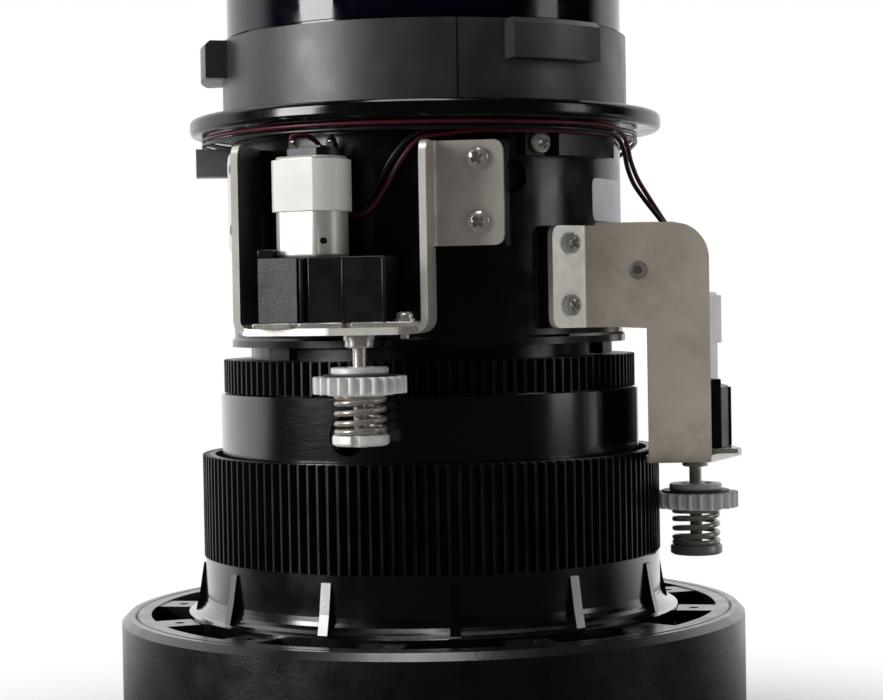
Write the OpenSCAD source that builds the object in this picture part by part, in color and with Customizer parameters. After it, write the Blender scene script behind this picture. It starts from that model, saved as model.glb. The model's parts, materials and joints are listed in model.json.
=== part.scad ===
// Motorised zoom and focus projection lens, standing on its front hood.
// Lengths in millimetres, optical axis on Z, origin at the hood's rest face.
// Angles are measured round the axis from the front (-Y), positive towards +X.

/* [Hood] */
// Width of the gap between the hood's wall and the cone's foot
hood_gap_w = 9.2; // [7:0.1:12]
// Height of the hood, from its rest face to its top rim
hood_h = 45; // [40:0.5:55]
// Wall of the hood at its top rim
hood_wall = 7.1; // [6:0.1:8]
// Thickness of the ring in the hood that the cone stands on
hood_seat_t = 4.5; // [3:0.1:6]
// Depth of the cone's foot below the hood's rim
hood_seat_drop = 4; // [3:0.1:5]
// Number of ears between the hood's wall and its seat
ear_count = 12; // [6:1:12]
// Width of each ear
ear_w = 10; // [8:0.5:12]
// Radius of the small hole in each ear
ear_hole_r = 1.2; // [0.8:0.1:1.6]
// Angle of the first ear
ear_a = -10; // [-15:1:-5]

/* [Cone] */
// Height of the ribbed cone above the hood's rim
cone_h = 14; // [12:0.5:18]
// How far the cone's neck stands out from the sleeve
cone_out = 4.6; // [4.4:0.1:6]
// How far the cone's foot stands out from its neck
cone_foot_out = 4.2; // [3.6:0.1:5]
// Thickness of each rib
rib_w = 2.4; // [1.5:0.1:3]
// Angle of the first rib
rib_a = 5; // [0:1:10]

/* [Gears] */
// Module of both gear pairs
gear_module = 0.8; // [0.8:0.01:0.81]
// Pressure angle of the teeth
pressure_a = 20; // [18:0.5:22]
// Play between meshing teeth at the pitch circle
backlash = 0.14; // [0.1:0.01:0.2]
// Thickness of the focus ring from the sleeve to its pitch circle
focus_ring_t = 4; // [3.6:0.4:5]
// Thickness of the zoom ring from the neck to its pitch circle
zoom_ring_t = 5.9; // [5.5:0.4:7]
// Teeth on each pinion
pinion_teeth = 24; // [24:1:24]
// Height of the focus ring
focus_ring_h = 24.6; // [22:0.1:26]
// Height of the zoom ring
zoom_ring_h = 7.8; // [7:0.1:9]
// Thickness of each pinion
pinion_h = 4.2; // [3.5:0.1:4.6]

/* [Sleeves] */
// How far the helicoid sleeve stands out from the main barrel
sleeve_out = 3.6; // [3:0.1:5]
// Length of the sleeve that shows above the focus ring
sleeve_show = 14.8; // [13:0.1:16]
// Radius of the round window in the sleeve
window_r = 4.5; // [3:0.1:5]
// Angle of the window
window_a = -21.2; // [-30:0.1:-15]
// How far the guide tube lies inside the main barrel's outer face
guide_step = 9.6; // [9:0.1:12]
// Wall of the guide tube
guide_wall = 2.5; // [2:0.1:3]
// Wall of the cam tube
cam_wall = 2.9; // [2.5:0.1:3.4]

/* [Main barrel] */
// How far the neck is drawn in from the main barrel
neck_step = 3.9; // [3:0.1:4.5]
// Height of the neck
neck_h = 3.1; // [2.5:0.1:4]
// Outer radius of the main barrel
barrel_r = 47.6; // [47:0.1:47.8]
// Gap between the zoom bracket and the flange
bracket_top_gap = 5; // [2:0.1:8]
// Wall of the main barrel
barrel_wall = 4.1; // [3.5:0.1:4.5]

/* [Flange and bayonet] */
// How far the flange stands out from the main barrel
flange_out = 10; // [9:0.1:14]
// Thickness of the mounting flange
flange_t = 4.2; // [3.5:0.1:5]
// How far the bayonet band stands out from the main barrel
band_out = 1.8; // [1.6:0.1:3]
// Height of the bayonet band
band_h = 18.6; // [17:0.1:21]
// How far the bayonet lugs stand out from their band
lug_out = 5.3; // [3:0.1:6]
// Height of the bayonet lugs
lug_h = 9; // [7:0.1:10]
// Angle that each bayonet lug spans
lug_span_a = 26; // [20:1:32]
// How far the rear barrel lies inside the band's outer face
rear_step = 1.3; // [1.2:0.1:2.4]
// Height of the rear barrel above the bayonet band
rear_h = 36.7; // [30:0.1:45]
// Wall of the rear barrel
rear_wall = 3.4; // [3:0.1:4]

/* [Brackets] */
// Thickness of the brackets' sheet
sheet_t = 1.6; // [1.2:0.1:2]
// Direction that the zoom drive faces
zoom_drive_a = -9.5; // [-12:0.5:-7]
// Direction that the focus drive faces
focus_drive_a = 90; // [88:0.5:92]

/* [Zoom bracket] */
// Half place of the left arm's outer face, from the drive's middle line
zoom_left_u = 33.6; // [32.5:0.1:35]
// Place of the right arm's outer face
zoom_right_u = 10.3; // [9.6:0.1:11]
// How far the zoom bracket's arms reach past its pinion's axis
zoom_arm_out = 0.8; // [0:0.1:4]
// How far the zoom bracket's floor reaches past its pinion's axis
zoom_nose_out = 10.8; // [9:0.1:14]
// Height of the arms above the floor's underside
zoom_arm_h = 42.75; // [40:0.25:44]
// Height of the floor's underside above the barrel's lower rim
zoom_floor_lift = 3.15; // [2.6:0.05:3.6]

/* [Focus bracket] */
// Place of the near arm's outer face, from the drive's middle line
focus_left_u = 36; // [35:0.1:37]
// Place of the far arm's outer face
focus_right_u = 10.3; // [9.6:0.1:11]
// How far the focus bracket's arms reach past its pinion's axis
focus_arm_out = 0.1; // [0:0.1:4]
// How far the focus bracket's floor reaches past its pinion's axis
focus_nose_out = 10.5; // [9:0.1:14]
// Height of the arms above the floor's underside
focus_arm_h = 55.8; // [54:0.1:57]
// Height of the arms' narrow lower part
focus_low_h = 31.8; // [30:0.1:33]
// Depth of the floor's underside below the barrel's lower rim
focus_floor_drop = 28.2; // [27.8:0.1:28.4]

/* [Gearmotors] */
// Width of each gearbox
gearbox_w = 29.4; // [28:0.1:30]
// Depth of each gearbox
gearbox_d = 14.6; // [13:0.1:15]
// Height of each gearbox
gearbox_h = 14.4; // [13:0.1:15.5]
// Radius of each motor's can
motor_r = 8; // [7.5:0.1:8.2]
// Width of the can across its flats
motor_flat_w = 12.4; // [12:0.1:13]
// Height of each motor's can
motor_h = 22; // [19:0.1:23]
// Thickness of the flux band round each can
motor_band_t = 0.8; // [0.5:0.1:0.9]
// Radius of each drive shaft
shaft_r = 1.5; // [1.2:0.1:1.8]
// Radius of the clutch's collar and disc
clutch_r = 6.4; // [6:0.1:6.6]
// Radius of each clutch spring to the outside of its wire
spring_r = 5.8; // [5:0.1:6]
// Diameter of the clutch springs' wire
spring_wire = 1.1; // [0.9:0.05:1.15]
// Turns in each clutch spring
spring_turns = 4; // [3:1:4]

/* [Travel] */
// Travel of the focus ring along the axis, each way from rest
focus_travel = 3.2; // [2:0.1:3.2]
// Turn of the zoom ring, each way from rest
zoom_swing_a = 30; // [20:1:32]
// Travel of the variator, each way from rest
variator_travel = 6; // [4:0.1:6]
// Travel of the compensator, each way from rest
compensator_travel = 3; // [2:0.1:3]

/* [Hidden] */
$fn = 96;

// Clearances and small shared sizes
run_gap = 0.08;
fit_gap = 0.05;
move_gap = 0.3;
cut = 1;
edge = 0.8;
full_turn = 360;
half_turn = full_turn / 2;
quarter_turn = full_turn / 4;

// Levels along the axis
neck_r = barrel_r - neck_step;
guide_r = barrel_r - guide_step;
sleeve_r = barrel_r + sleeve_out;
flange_r = barrel_r + flange_out;
band_r = barrel_r + band_out;
lug_r = band_r + lug_out;
rear_r = band_r - rear_step;
rear_seat_step = 0.6;
rear_seat_r = rear_r - rear_seat_step;
lug_root_in = 0.9;
lug_root_r = band_r - lug_root_in;
cone_r = sleeve_r + cone_out;
cone_foot_r = cone_r + cone_foot_out;
hood_inner_r = cone_foot_r + hood_gap_w;
hood_r = hood_inner_r + hood_wall;

cone_top_z = hood_h + cone_h;
focus_top_z = cone_top_z + focus_ring_h;
sleeve_top_z = focus_top_z + sleeve_show;
zoom_z = sleeve_top_z + move_gap;
zoom_top_z = zoom_z + zoom_ring_h;
neck_z = zoom_top_z + fit_gap;
barrel_z = neck_z + neck_h;
flange_z = barrel_z + zoom_floor_lift + zoom_arm_h + bracket_top_gap;
band_z = flange_z + flange_t;
band_top_z = band_z + band_h;
rear_z = band_top_z + rear_h;

// Gear sizes, from the module and the tooth counts
tooth_root_share = 1.25;
zoom_teeth = round(2 * (neck_r + zoom_ring_t) / gear_module);
focus_teeth = round(2 * (sleeve_r + focus_ring_t) / gear_module);
zoom_pitch_r = gear_module * zoom_teeth / 2;
focus_pitch_r = gear_module * focus_teeth / 2;
pinion_pitch_r = gear_module * pinion_teeth / 2;
zoom_centre_d = zoom_pitch_r + pinion_pitch_r;
focus_centre_d = focus_pitch_r + pinion_pitch_r;
zoom_tip_r = zoom_pitch_r + gear_module;
focus_tip_r = focus_pitch_r + gear_module;
pinion_tip_r = pinion_pitch_r + gear_module;
ring_flank_shares = [0, 0.5, 1];
pinion_flank_shares = [0, 0.3, 0.65, 1];

// Hood and cone
hood_seat_z = hood_h - hood_seat_drop;
hood_groove_w = 0.9;
hood_groove_depth = 0.7;
hood_chamfer = 1.6;
hood_lip_h = 3;
hood_lip_w = 1.4;
ear_hole_out = 4;
ear_sink = 0.3;
hood_seat_out = 2.5;
foot_h = 5.2;
foot_flare = 4;
front_run_w = 3.8;
front_run_r = cone_r - front_run_w;
cone_lip_w = 2;
cone_lip_r = front_run_r - cone_lip_w;
cone_lip_h = 2.3;
rib_top_drop = 1.8;
rib_out = 1.5;
rib_low_out = 2.6;
hood_screw_count = 6;
hood_screw_r = 1.25;
hood_screw_head_r = 2.4;
hood_screw_head_h = 1.6;
hood_screw_bite = 3.4;
hood_screw_place_r = (cone_foot_r + cone_lip_r) / 2;
hood_groove_r = hood_r - hood_wall / 2;
hood_seat_in = 1;
hood_seat_r = cone_lip_r + hood_seat_in;

// Focus ring and sleeve
ring_gap = 1.8;
focus_land_h = 7.6;
sleeve_wall = 2.7;
sleeve_foot_z = cone_top_z + focus_travel + move_gap;
window_share = 0.42;
key_a = 20;
sleeve_web_h = 3;
key_count = 2;
key_w = 6;
key_h = 15;
lock_h = 3;
lock_w = 3;
lock_r = guide_r + lock_w;
guide_head_w = 4;
guide_head_r = guide_r + guide_head_w;
guide_head_h = 2;
neck_web_h = 5.5;
guide_slot_w = 3.3;

// Front group
front_ring_h = 2;
front_cell_drop = 1.2;
front_cell_z = hood_seat_z + foot_h + cone_lip_h - front_cell_drop;
front_cell_top_z = cone_top_z - move_gap;
key_top_z = front_cell_top_z + key_h;
front_lens_z = front_cell_z + front_ring_h + edge;
front_cell_wall = 5.5;
front_seat_r = front_run_r - front_cell_wall;
front_shoulder_w = 3;
front_shoulder_r = front_seat_r - front_shoulder_w;
front_shoulder_h = 2.4;
front_edge_h = 5;
front_bulge_h = 8;
front_hollow_h = 4;

// Zoom groups
cell_r = guide_r - guide_wall - run_gap;
cell_wall = 4.4;
cell_shoulder_w = 2.6;
cell_shoulder_h = 2;
variator_h = 12;
group_gap = 1;
cam_web_h = 1.2;
compensator_h = 10;
pin_r = 1.5;
pin_count = 2;
pin_depth = 3;
variator_pin_a = 0;
compensator_pin_a = 90;
cam_r = guide_r + run_gap + cam_wall;
cam_slot_w = 3.8;
variator_edge_h = 7.6;
variator_hollow_h = 3;
compensator_edge_h = 4;
compensator_bulge_h = 3;
cam_steps = 7;
cam_end_a = 2;
cam_z = sleeve_foot_z + sleeve_web_h + move_gap;
variator_z = cam_z + variator_travel + cam_slot_w / 2 + cam_web_h - variator_h / 2;
compensator_z = variator_z + variator_h + variator_travel + compensator_travel + group_gap;

// Relay and rear lenses
relay_lift = 28;
relay_z = barrel_z + relay_lift;
relay_shoulder_w = 3;
relay_shoulder_h = 3;
relay_edge_h = 4;
relay_bulge_h = 5;
rear_lens_drop = 18;
rear_lens_z = rear_z - rear_lens_drop;
rear_shoulder_w = 3;
rear_shoulder_h = 3;
rear_edge_h = 4.5;
rear_bulge_h = 6;
ring_h = 3;
ring_w = 3.4;
ring_notch_w = 2.4;
ring_notch_depth = 1.2;
lens_rim_w = 3.6;

// Small pieces on the barrel
barrel_lip_w = 0.6;
barrel_lip_h = 1.6;
stop_out = 2;
stop_places = [-50, 70, 190];
stop_span_a = 10;
bayonet_places = [35, 155, 275];
lug_drop = 0.3;
lug_bevel = 1.2;
seam_a = 35;
seam_w = 0.5;
seam_depth = 0.5;
locator_a = -84;
locator_w = 7;
locator_out = 8.6;
locator_r = barrel_r + locator_out;
locator_h = 6.7;
locator_gap = 2.9;
clamp_a = 47;
clamp_span_a = 22;
clamp_ear_a = 32.1;
clamp_ear_span_a = 9;
clamp_out = 4.4;
clamp_r = barrel_r + clamp_out;
clamp_ear_t = 1.6;
clamp_h = 8;
clamp_screw_drop = 5;
screw_r = 1.2;
screw_head_r = 2.4;
screw_head_h = 1.7;
screw_clear = 0.15;
access_hole_a = 24.6;
access_hole_drop = 12.8;
access_hole_r = 3.6;
access_hole_depth = 1.6;
label_a = 54.7;
label_span_a = 24;
label_t = 0.2;
label_h = 10;
label_drop = 22.5;

// Bracket details
arm_round = 4;
focus_arm_round = 8.5;
flange_h = 23.4;
zoom_arm_d = zoom_centre_d + zoom_arm_out;
zoom_nose_d = zoom_centre_d + zoom_nose_out;
focus_arm_d = focus_centre_d + focus_arm_out;
focus_nose_d = focus_centre_d + focus_nose_out;
pad_t = 0.9;
flange_gap_d = barrel_r + pad_t + sheet_t;
left_flange_a = -50;
left_flange_w = 11;
left_pad_t = 1.9;
left_flange_d = barrel_r + left_pad_t + sheet_t;
right_flange_w = 15.7;
flange_screw_u = 20.4;
flange_screw_low = 5.2;
flange_screw_high = 19.4;
arm_foot_d = 1.5;
pad_inset = 0.6;
screw_length = 6;
long_screw_length = 9.6;
zoom_tab_u = 10;
focus_tab_u = 11;
zoom_tab_step = 1.5;
focus_tab_step = 1.8;
zoom_tab_right_d = zoom_nose_d - zoom_tab_step;
focus_tab_right_d = focus_nose_d - focus_tab_step;
focus_low_out = 2.9;
focus_low_d = barrel_r + focus_low_out;
dimple_r = 1.6;
dimple_out = 0.9;
dimple_d = barrel_r + dimple_out;
dimple_lift = 13;

// Gearmotor details, in each drive's own frame
gearbox_u = -27.2;
zoom_gearbox_in = 7.9;
focus_gearbox_in = 7.8;
zoom_gearbox_d = zoom_centre_d - zoom_gearbox_in;
focus_gearbox_d = focus_centre_d - focus_gearbox_in;
plate_t = 1.15;
plate_rim = 0.5;
plate_notch_w = 2;
plate_notch_depth = 1;
plate_notch_places = [-18.3, -6.6];
gearbox_cut_w = 8.8;
gearbox_cut_d = 3.2;
gearbox_rib_w = 1.1;
gearbox_ear_w = 4;
gearbox_ear_h = 2;
gearbox_ear_d = 5;
motor_u = -16.1;
motor_in = 4.8;
motor_turn_a = 66.5;
band_lift = 10.2;
band_part_h = 11.8;
cap_r = 6.9;
cap_h = 2.2;
terminal_w = 1.6;
terminal_t = 0.4;
terminal_h = 1.6;
terminal_half_u = 4.2;
output_u = -5.4;
bushing_r = 3.5;
bushing_h = 2.9;
shaft_rise = 8;
collar_h = 1.65;
zoom_collar_drop = 4.2;
focus_collar_drop = 4.1;
hub_r = 3.2;
hub_h = 5;
disc_h = 2.75;
spring_h = 9.1;
disc_notch_w = 1.6;
disc_notch_depth = 1.2;
spring_rings = 8;
spring_sides = 6;
spring_bend = 0.3;
floor_screw_u = 5.4;
floor_screw_out = 10.7;
floor_screw_r = 1;
floor_screw_head_r = 1.9;
floor_screw_head_h = 2.4;
floor_screw_tip = 1;

zoom_floor_z = barrel_z + zoom_floor_lift;
focus_floor_z = barrel_z - focus_floor_drop;
zoom_flange_z = zoom_floor_z + zoom_arm_h - flange_h;
focus_flange_z = focus_floor_z + focus_low_h;
focus_clear_gap = 1;
focus_clear_r = focus_tip_r + focus_clear_gap;
zoom_screw_d = zoom_gearbox_d + floor_screw_out;
focus_screw_d = focus_gearbox_d + floor_screw_out;
zoom_motor_d = zoom_gearbox_d + motor_in;
focus_motor_d = focus_gearbox_d + motor_in;
zoom_output_d = sqrt(pow(zoom_centre_d, 2) - pow(output_u, 2));
focus_output_d = sqrt(pow(focus_centre_d, 2) - pow(output_u, 2));
zoom_output_a = zoom_drive_a + asin(output_u / zoom_centre_d);
focus_output_a = focus_drive_a + asin(output_u / focus_centre_d);
zoom_collar_z = zoom_floor_z - bushing_h - zoom_collar_drop - collar_h;
focus_collar_z = focus_floor_z - bushing_h - focus_collar_drop - collar_h;

// Leads: each route is a list of [angle, distance from the axis, height]
lead_r = 0.5;
lead_sides = 8;
connector_places = [122, -150];
connector_w = 12;
connector_d = 5;
connector_h = 9;
connector_drop = 2;
connector_wall = 1.2;
zoom_red_route = [[-29.4, 59.7, 155.8], [-29.4, 59.7, 157], [-28.2, 56.4, 157.4],
    [-27, 52.8, 155.8], [-26.4, 50, 152], [-25.6, 48.9, 146.6], [-23.4, 48.75, 142],
    [-19.4, 48.7, 139.6], [-15, 48.7, 140.6], [-10.6, 48.7, 145.6], [-6, 48.7, 152],
    [-1.2, 48.9, 156.4], [5, 49.8, 157.2], [12, 51, 157.8], [24, 52, 158], [38, 52.8, 158],
    [48, 52.8, 158], [58, 52.6, 158], [72, 52, 158], [86, 51.4, 157.9], [98, 51.2, 157],
    [106, 51, 155.9], [111, 50.8, 155.1], [115, 50.8, 155]];
zoom_black_route = [[-21.5, 57.4, 155.8], [-21.5, 57.4, 156.8], [-22, 54, 156.4],
    [-22.8, 50.7, 153.6], [-23, 49.3, 149.4], [-22.2, 48.8, 145.4], [-19.4, 48.7, 142.6],
    [-15.8, 48.7, 143], [-12, 48.7, 147.6], [-7.6, 48.7, 153.4], [-3, 48.9, 157.2],
    [3, 49.7, 158.9], [10, 50.9, 159.4], [24, 52, 159.4], [38, 52.8, 159.4], [48, 52.8, 159.4],
    [58, 52.6, 159.4], [72, 52, 159.4], [86, 51.4, 159.3], [98, 51.2, 158.8], [106, 51, 157.8],
    [111, 50.8, 157.1], [115, 50.8, 157]];
focus_red_route = [[79.1, 62.9, 124.5], [79.1, 62.9, 127], [77.6, 62.2, 131], [75, 60.8, 135],
    [72, 58.8, 139], [69.4, 56.6, 143.4], [66.8, 54.6, 147.8], [64.4, 53.7, 152],
    [61.6, 53.9, 155.6], [57.4, 54.3, 158.4], [50, 54.3, 159.7], [40, 54.3, 159.8],
    [30, 54.3, 159.8], [15, 54.3, 159.8], [0, 54.3, 159.8], [-15, 54.3, 159.8], [-30, 54.3, 159.8],
    [-45, 54.3, 159.8], [-60, 54.3, 159.8], [-75, 54.3, 159.8], [-90, 54.3, 159.8],
    [-105, 54.3, 159.8], [-120, 54.3, 159.8], [-131, 53.6, 159.3], [-138, 51.6, 157.8],
    [-143, 50.8, 157]];
focus_black_route = [[71.8, 65, 124.5], [71.8, 65, 127], [71.6, 63.6, 131], [70.4, 61.4, 135],
    [68.6, 58.8, 139], [66.6, 56.2, 143], [64.6, 54.2, 146.8], [62.4, 53.5, 150.6],
    [59.6, 53.9, 154.2], [55.6, 54.3, 157.1], [50, 54.3, 158.3], [40, 54.3, 158.5],
    [30, 54.3, 158.5], [15, 54.3, 158.5], [0, 54.3, 158.5], [-15, 54.3, 158.5], [-30, 54.3, 158.5],
    [-45, 54.3, 158.5], [-60, 54.3, 158.5], [-75, 54.3, 158.5], [-90, 54.3, 158.5],
    [-105, 54.3, 158.5], [-120, 54.3, 158.5], [-131, 53.4, 158], [-138, 51.4, 155.6],
    [-143, 50.8, 154.5]];

// Points and outlines

function unit(v) = v / norm(v);
function inv_a(a) = tan(a) * half_turn / PI - a;
function tooth_half_a(teeth, r) =
    let (pitch_r = gear_module * teeth / 2)
    let (base_r = pitch_r * cos(pressure_a))
    let (half_a = (PI * gear_module / 2 - backlash) / 2 / pitch_r * half_turn / PI)
    half_a + inv_a(pressure_a) - inv_a(acos(min(1, base_r / max(r, base_r))));

function gear_outline(teeth, shares) =
    let (pitch_r = gear_module * teeth / 2)
    let (root_r = pitch_r - gear_module * tooth_root_share)
    let (tip_r = pitch_r + gear_module)
    let (last = len(shares) - 1)
    [for (tooth = [0 : teeth - 1], side = [-1, 1], i = [0 : last])
        let (r = root_r + (tip_r - root_r) * shares[side < 0 ? i : last - i])
        let (a = tooth * full_turn / teeth + side * tooth_half_a(teeth, r))
        [r * cos(a), r * sin(a)]];

function polar(p) = [p[1] * sin(p[0]), -p[1] * cos(p[0]), p[2]];

function tangents(p) = [for (i = [0 : len(p) - 1])
    unit(unit(p[min(i + 1, len(p) - 1)] - p[max(min(i, len(p) - 2), 0)])
        + unit(p[max(i, 1)] - p[max(i - 1, 0)]))];

function side_vectors(t, i, n) = i == len(t) ? [] :
    let (u = unit(n - (n * t[i]) * t[i]))
    concat([u], side_vectors(t, i + 1, u));

module tube(p, r, sides, start) {
    t = tangents(p);
    n = side_vectors(t, 0, start);
    points = [for (i = [0 : len(p) - 1], k = [0 : sides - 1])
        let (a = k * full_turn / sides)
        p[i] + r * (cos(a) * n[i] + sin(a) * cross(t[i], n[i]))];
    last = (len(p) - 1) * sides;
    walls = [for (i = [0 : len(p) - 2], k = [0 : sides - 1], half = [0, 1])
        let (a = i * sides + k)
        let (b = i * sides + (k + 1) % sides)
        half == 0 ? [a, a + sides, b] : [b, a + sides, b + sides]];
    low_cap = [for (k = [1 : sides - 2]) [0, k, k + 1]];
    high_cap = [for (k = [1 : sides - 2]) [last, last + k + 1, last + k]];
    polyhedron(points, concat(low_cap, high_cap, walls));
}

function spring_path() =
    let (low = spring_wire + spring_bend)
    let (r = spring_r - spring_wire / 2)
    let (steps = spring_turns * spring_rings)
    let (rise = spring_h - 2 * low)
    concat([[r, 0, 0], [r, 0, spring_wire]],
        [for (i = [0 : steps])
            let (a = i * full_turn / spring_rings)
            [r * cos(a), r * sin(a), low + rise * i / steps]],
        [[r, 0, spring_h - spring_wire], [r, 0, spring_h]]);

function least_gap(p, skip) = min([for (i = [0 : len(p) - 1 - skip], j = [i + skip : len(p) - 1])
    norm(p[i] - p[j])]);

echo(spring_least_gap = least_gap(spring_path(), spring_rings / 2) - spring_wire);

function arc(c, r, a0, a1, n) = [for (i = [0 : n])
    let (a = a0 + (a1 - a0) * i / n)
    [c[0] + r * cos(a), c[1] + r * sin(a)]];

arc_steps = 6;
lens_steps = 8;

// Shared shapes

module ring(r0, r1, h) {
    rotate_extrude() translate([r0, 0]) square([r1 - r0, h]);
}

module sector(r0, r1, h, mid_a, span_a) {
    rotate([0, 0, mid_a - quarter_turn - span_a / 2])
        rotate_extrude(angle = span_a) translate([r0, 0]) square([r1 - r0, h]);
}

module facing(a) {
    rotate([0, 0, a]) children();
}

module out_drill(a, z, r, d0, d1) {
    facing(a) translate([0, -d0, z]) rotate([quarter_turn, 0, 0]) cylinder(r = r, h = d1 - d0);
}

module block(u0, u1, d0, d1, z0, z1) {
    translate([u0, -d1, z0]) cube([u1 - u0, d1 - d0, z1 - z0]);
}

function cap_line(r, sagitta, n) =
    let (ball_r = (r * r + sagitta * sagitta) / (2 * sagitta))
    [for (i = [0 : n]) [r * i / n, sqrt(ball_r * ball_r - pow(r * i / n, 2)) - ball_r + sagitta]];

module lens(r, edge_h, low_bulge, high_bulge) {
    low = cap_line(r - lens_rim_w, abs(low_bulge), lens_steps);
    high = cap_line(r - lens_rim_w, abs(high_bulge), lens_steps);
    rotate_extrude() polygon(concat(
        [for (p = low) [p[0], -sign(low_bulge) * p[1]]],
        [[r, 0], [r, edge_h]],
        [for (i = [lens_steps : -1 : 0]) [high[i][0], edge_h + sign(high_bulge) * high[i][1]]]));
}

module screw(length, r, head_r, head_h) {
    cylinder(r = r, h = length);
    translate([0, 0, length]) difference() {
        cylinder(r = head_r, h = head_h);
        translate([0, 0, head_h / 2]) cylinder(r = head_r / 2, h = head_h, $fn = 6);
    }
}

module out_screw(a, z, d_seat, length) {
    facing(a) translate([0, -(d_seat - length), z]) rotate([quarter_turn, 0, 0])
        screw(length, screw_r, screw_head_r, screw_head_h);
}

// Rear barrel, flange and main barrel

module rear_barrel() {
    inner = rear_r - rear_wall;
    color("midnightblue") rotate_extrude() polygon([
        [inner, band_z], [rear_seat_r, band_z], [rear_seat_r, band_top_z + edge],
        [rear_r, band_top_z + edge], [rear_r, rear_z - edge], [rear_r - edge, rear_z],
        [inner, rear_z], [inner, rear_lens_z], [inner - rear_shoulder_w, rear_lens_z],
        [inner - rear_shoulder_w, rear_lens_z - rear_shoulder_h],
        [inner, rear_lens_z - 2 * rear_shoulder_h]]);
}

module rear_lens() {
    color("lightcyan") translate([0, 0, rear_lens_z])
        lens(rear_r - rear_wall - run_gap, rear_edge_h, rear_shoulder_h / 2, rear_bulge_h);
}

module notched_ring(r1) {
    difference() {
        ring(r1 - ring_w, r1, ring_h);
        for (a = [0, half_turn])
            facing(a) block(-ring_notch_w / 2, ring_notch_w / 2, r1 - ring_w - cut, r1 + cut,
                ring_h - ring_notch_depth, ring_h + cut);
    }
}

module rear_retaining_ring() {
    color("dimgray") translate([0, 0, rear_lens_z + rear_edge_h])
        notched_ring(rear_r - rear_wall - run_gap);
}

module bayonet_band() {
    color("dimgray") difference() {
        union() {
            translate([0, 0, band_z]) ring(rear_seat_r + fit_gap, band_r, band_h);
            for (a = bayonet_places)
                rotate([0, 0, a - quarter_turn - lug_span_a / 2])
                    rotate_extrude(angle = lug_span_a) polygon([
                        [lug_root_r, band_top_z - lug_drop - lug_h],
                        [lug_r, band_top_z - lug_drop - lug_h],
                        [lug_r, band_top_z - lug_drop - lug_bevel],
                        [lug_r - lug_bevel, band_top_z - lug_drop],
                        [lug_root_r, band_top_z - lug_drop]]);
        }
        facing(seam_a - lug_span_a) block(-seam_w / 2, seam_w / 2, band_r - seam_depth, band_r + cut,
            band_z - cut, band_top_z + cut);
    }
}

module mounting_flange() {
    inner = rear_r - rear_wall;
    round_r = flange_t / 3;
    color("darkslategray") rotate_extrude() polygon(concat(
        [[inner, flange_z]],
        arc([flange_r - round_r, flange_z + round_r], round_r, -quarter_turn, 0, arc_steps),
        arc([flange_r - round_r, band_z - round_r], round_r, 0, quarter_turn, arc_steps),
        [[inner, band_z]]));
}

module main_barrel() {
    inner = barrel_r - barrel_wall;
    web_z = neck_z + neck_web_h;
    color([0.16, 0.17, 0.2]) difference() {
        rotate_extrude() polygon([
            [guide_r + fit_gap, neck_z], [neck_r, neck_z], [neck_r, barrel_z],
            [barrel_r + barrel_lip_w, barrel_z], [barrel_r + barrel_lip_w, barrel_z + barrel_lip_h],
            [barrel_r, barrel_z + barrel_lip_h + barrel_lip_w], [barrel_r, flange_z],
            [inner, flange_z], [inner, relay_z], [inner - relay_shoulder_w, relay_z],
            [inner - relay_shoulder_w, relay_z - relay_shoulder_h],
            [inner, relay_z - 2 * relay_shoulder_h], [inner, web_z],
            [guide_r + fit_gap, web_z]]);
        bracket_screw_places() cylinder(r = screw_r + screw_clear, h = barrel_r + cut);
        out_drill(clamp_ear_a, flange_z - clamp_screw_drop, screw_r + screw_clear,
            barrel_r - screw_length, barrel_r + cut);
        out_drill(access_hole_a, flange_z - access_hole_drop, access_hole_r,
            barrel_r - access_hole_depth, barrel_r + cut);
    }
}

module relay_lens() {
    color("lightcyan") translate([0, 0, relay_z])
        lens(barrel_r - barrel_wall - run_gap, relay_edge_h, -relay_edge_h / 3, relay_bulge_h);
}

module relay_retaining_ring() {
    color("dimgray") translate([0, 0, relay_z + relay_edge_h])
        notched_ring(barrel_r - barrel_wall - run_gap);
}

module guide_tube() {
    inner = guide_r - guide_wall;
    web_z = neck_z + neck_web_h;
    foot_z = sleeve_foot_z - lock_h;
    color("silver") difference() {
        rotate_extrude() polygon([
            [inner, foot_z], [guide_r, foot_z], [guide_r, web_z], [guide_head_r, web_z],
            [guide_head_r, web_z + guide_head_h], [inner, web_z + guide_head_h]]);
        group_slots(variator_pin_a, variator_z + variator_h / 2, variator_travel);
        group_slots(compensator_pin_a, compensator_z + compensator_h / 2, compensator_travel);
    }
}

module group_slots(a, z, travel) {
    half_h = travel + pin_r + move_gap;
    for (i = [0 : pin_count - 1])
        facing(a + i * full_turn / pin_count)
            block(-guide_slot_w / 2, guide_slot_w / 2, guide_r - guide_wall - cut, guide_r + cut,
                z - half_h, z + half_h);
}

module helicoid_sleeve() {
    color([0.3, 0.3, 0.33]) difference() {
        rotate_extrude() polygon([
            [guide_r + fit_gap, sleeve_foot_z], [sleeve_r, sleeve_foot_z], [sleeve_r, sleeve_top_z],
            [sleeve_r - sleeve_wall, sleeve_top_z],
            [sleeve_r - sleeve_wall, sleeve_foot_z + sleeve_web_h],
            [guide_r + fit_gap, sleeve_foot_z + sleeve_web_h]]);
        out_drill(window_a, focus_top_z + (sleeve_top_z - focus_top_z) * window_share, window_r,
            sleeve_r - sleeve_wall - cut, sleeve_r + cut);
        for (i = [0 : key_count - 1])
            facing(key_a + i * full_turn / key_count)
                block(-key_w / 2 - run_gap, key_w / 2 + run_gap, sleeve_r - sleeve_wall - run_gap,
                    sleeve_r + cut, sleeve_foot_z - cut, key_top_z + focus_travel + move_gap);
    }
}

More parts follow.
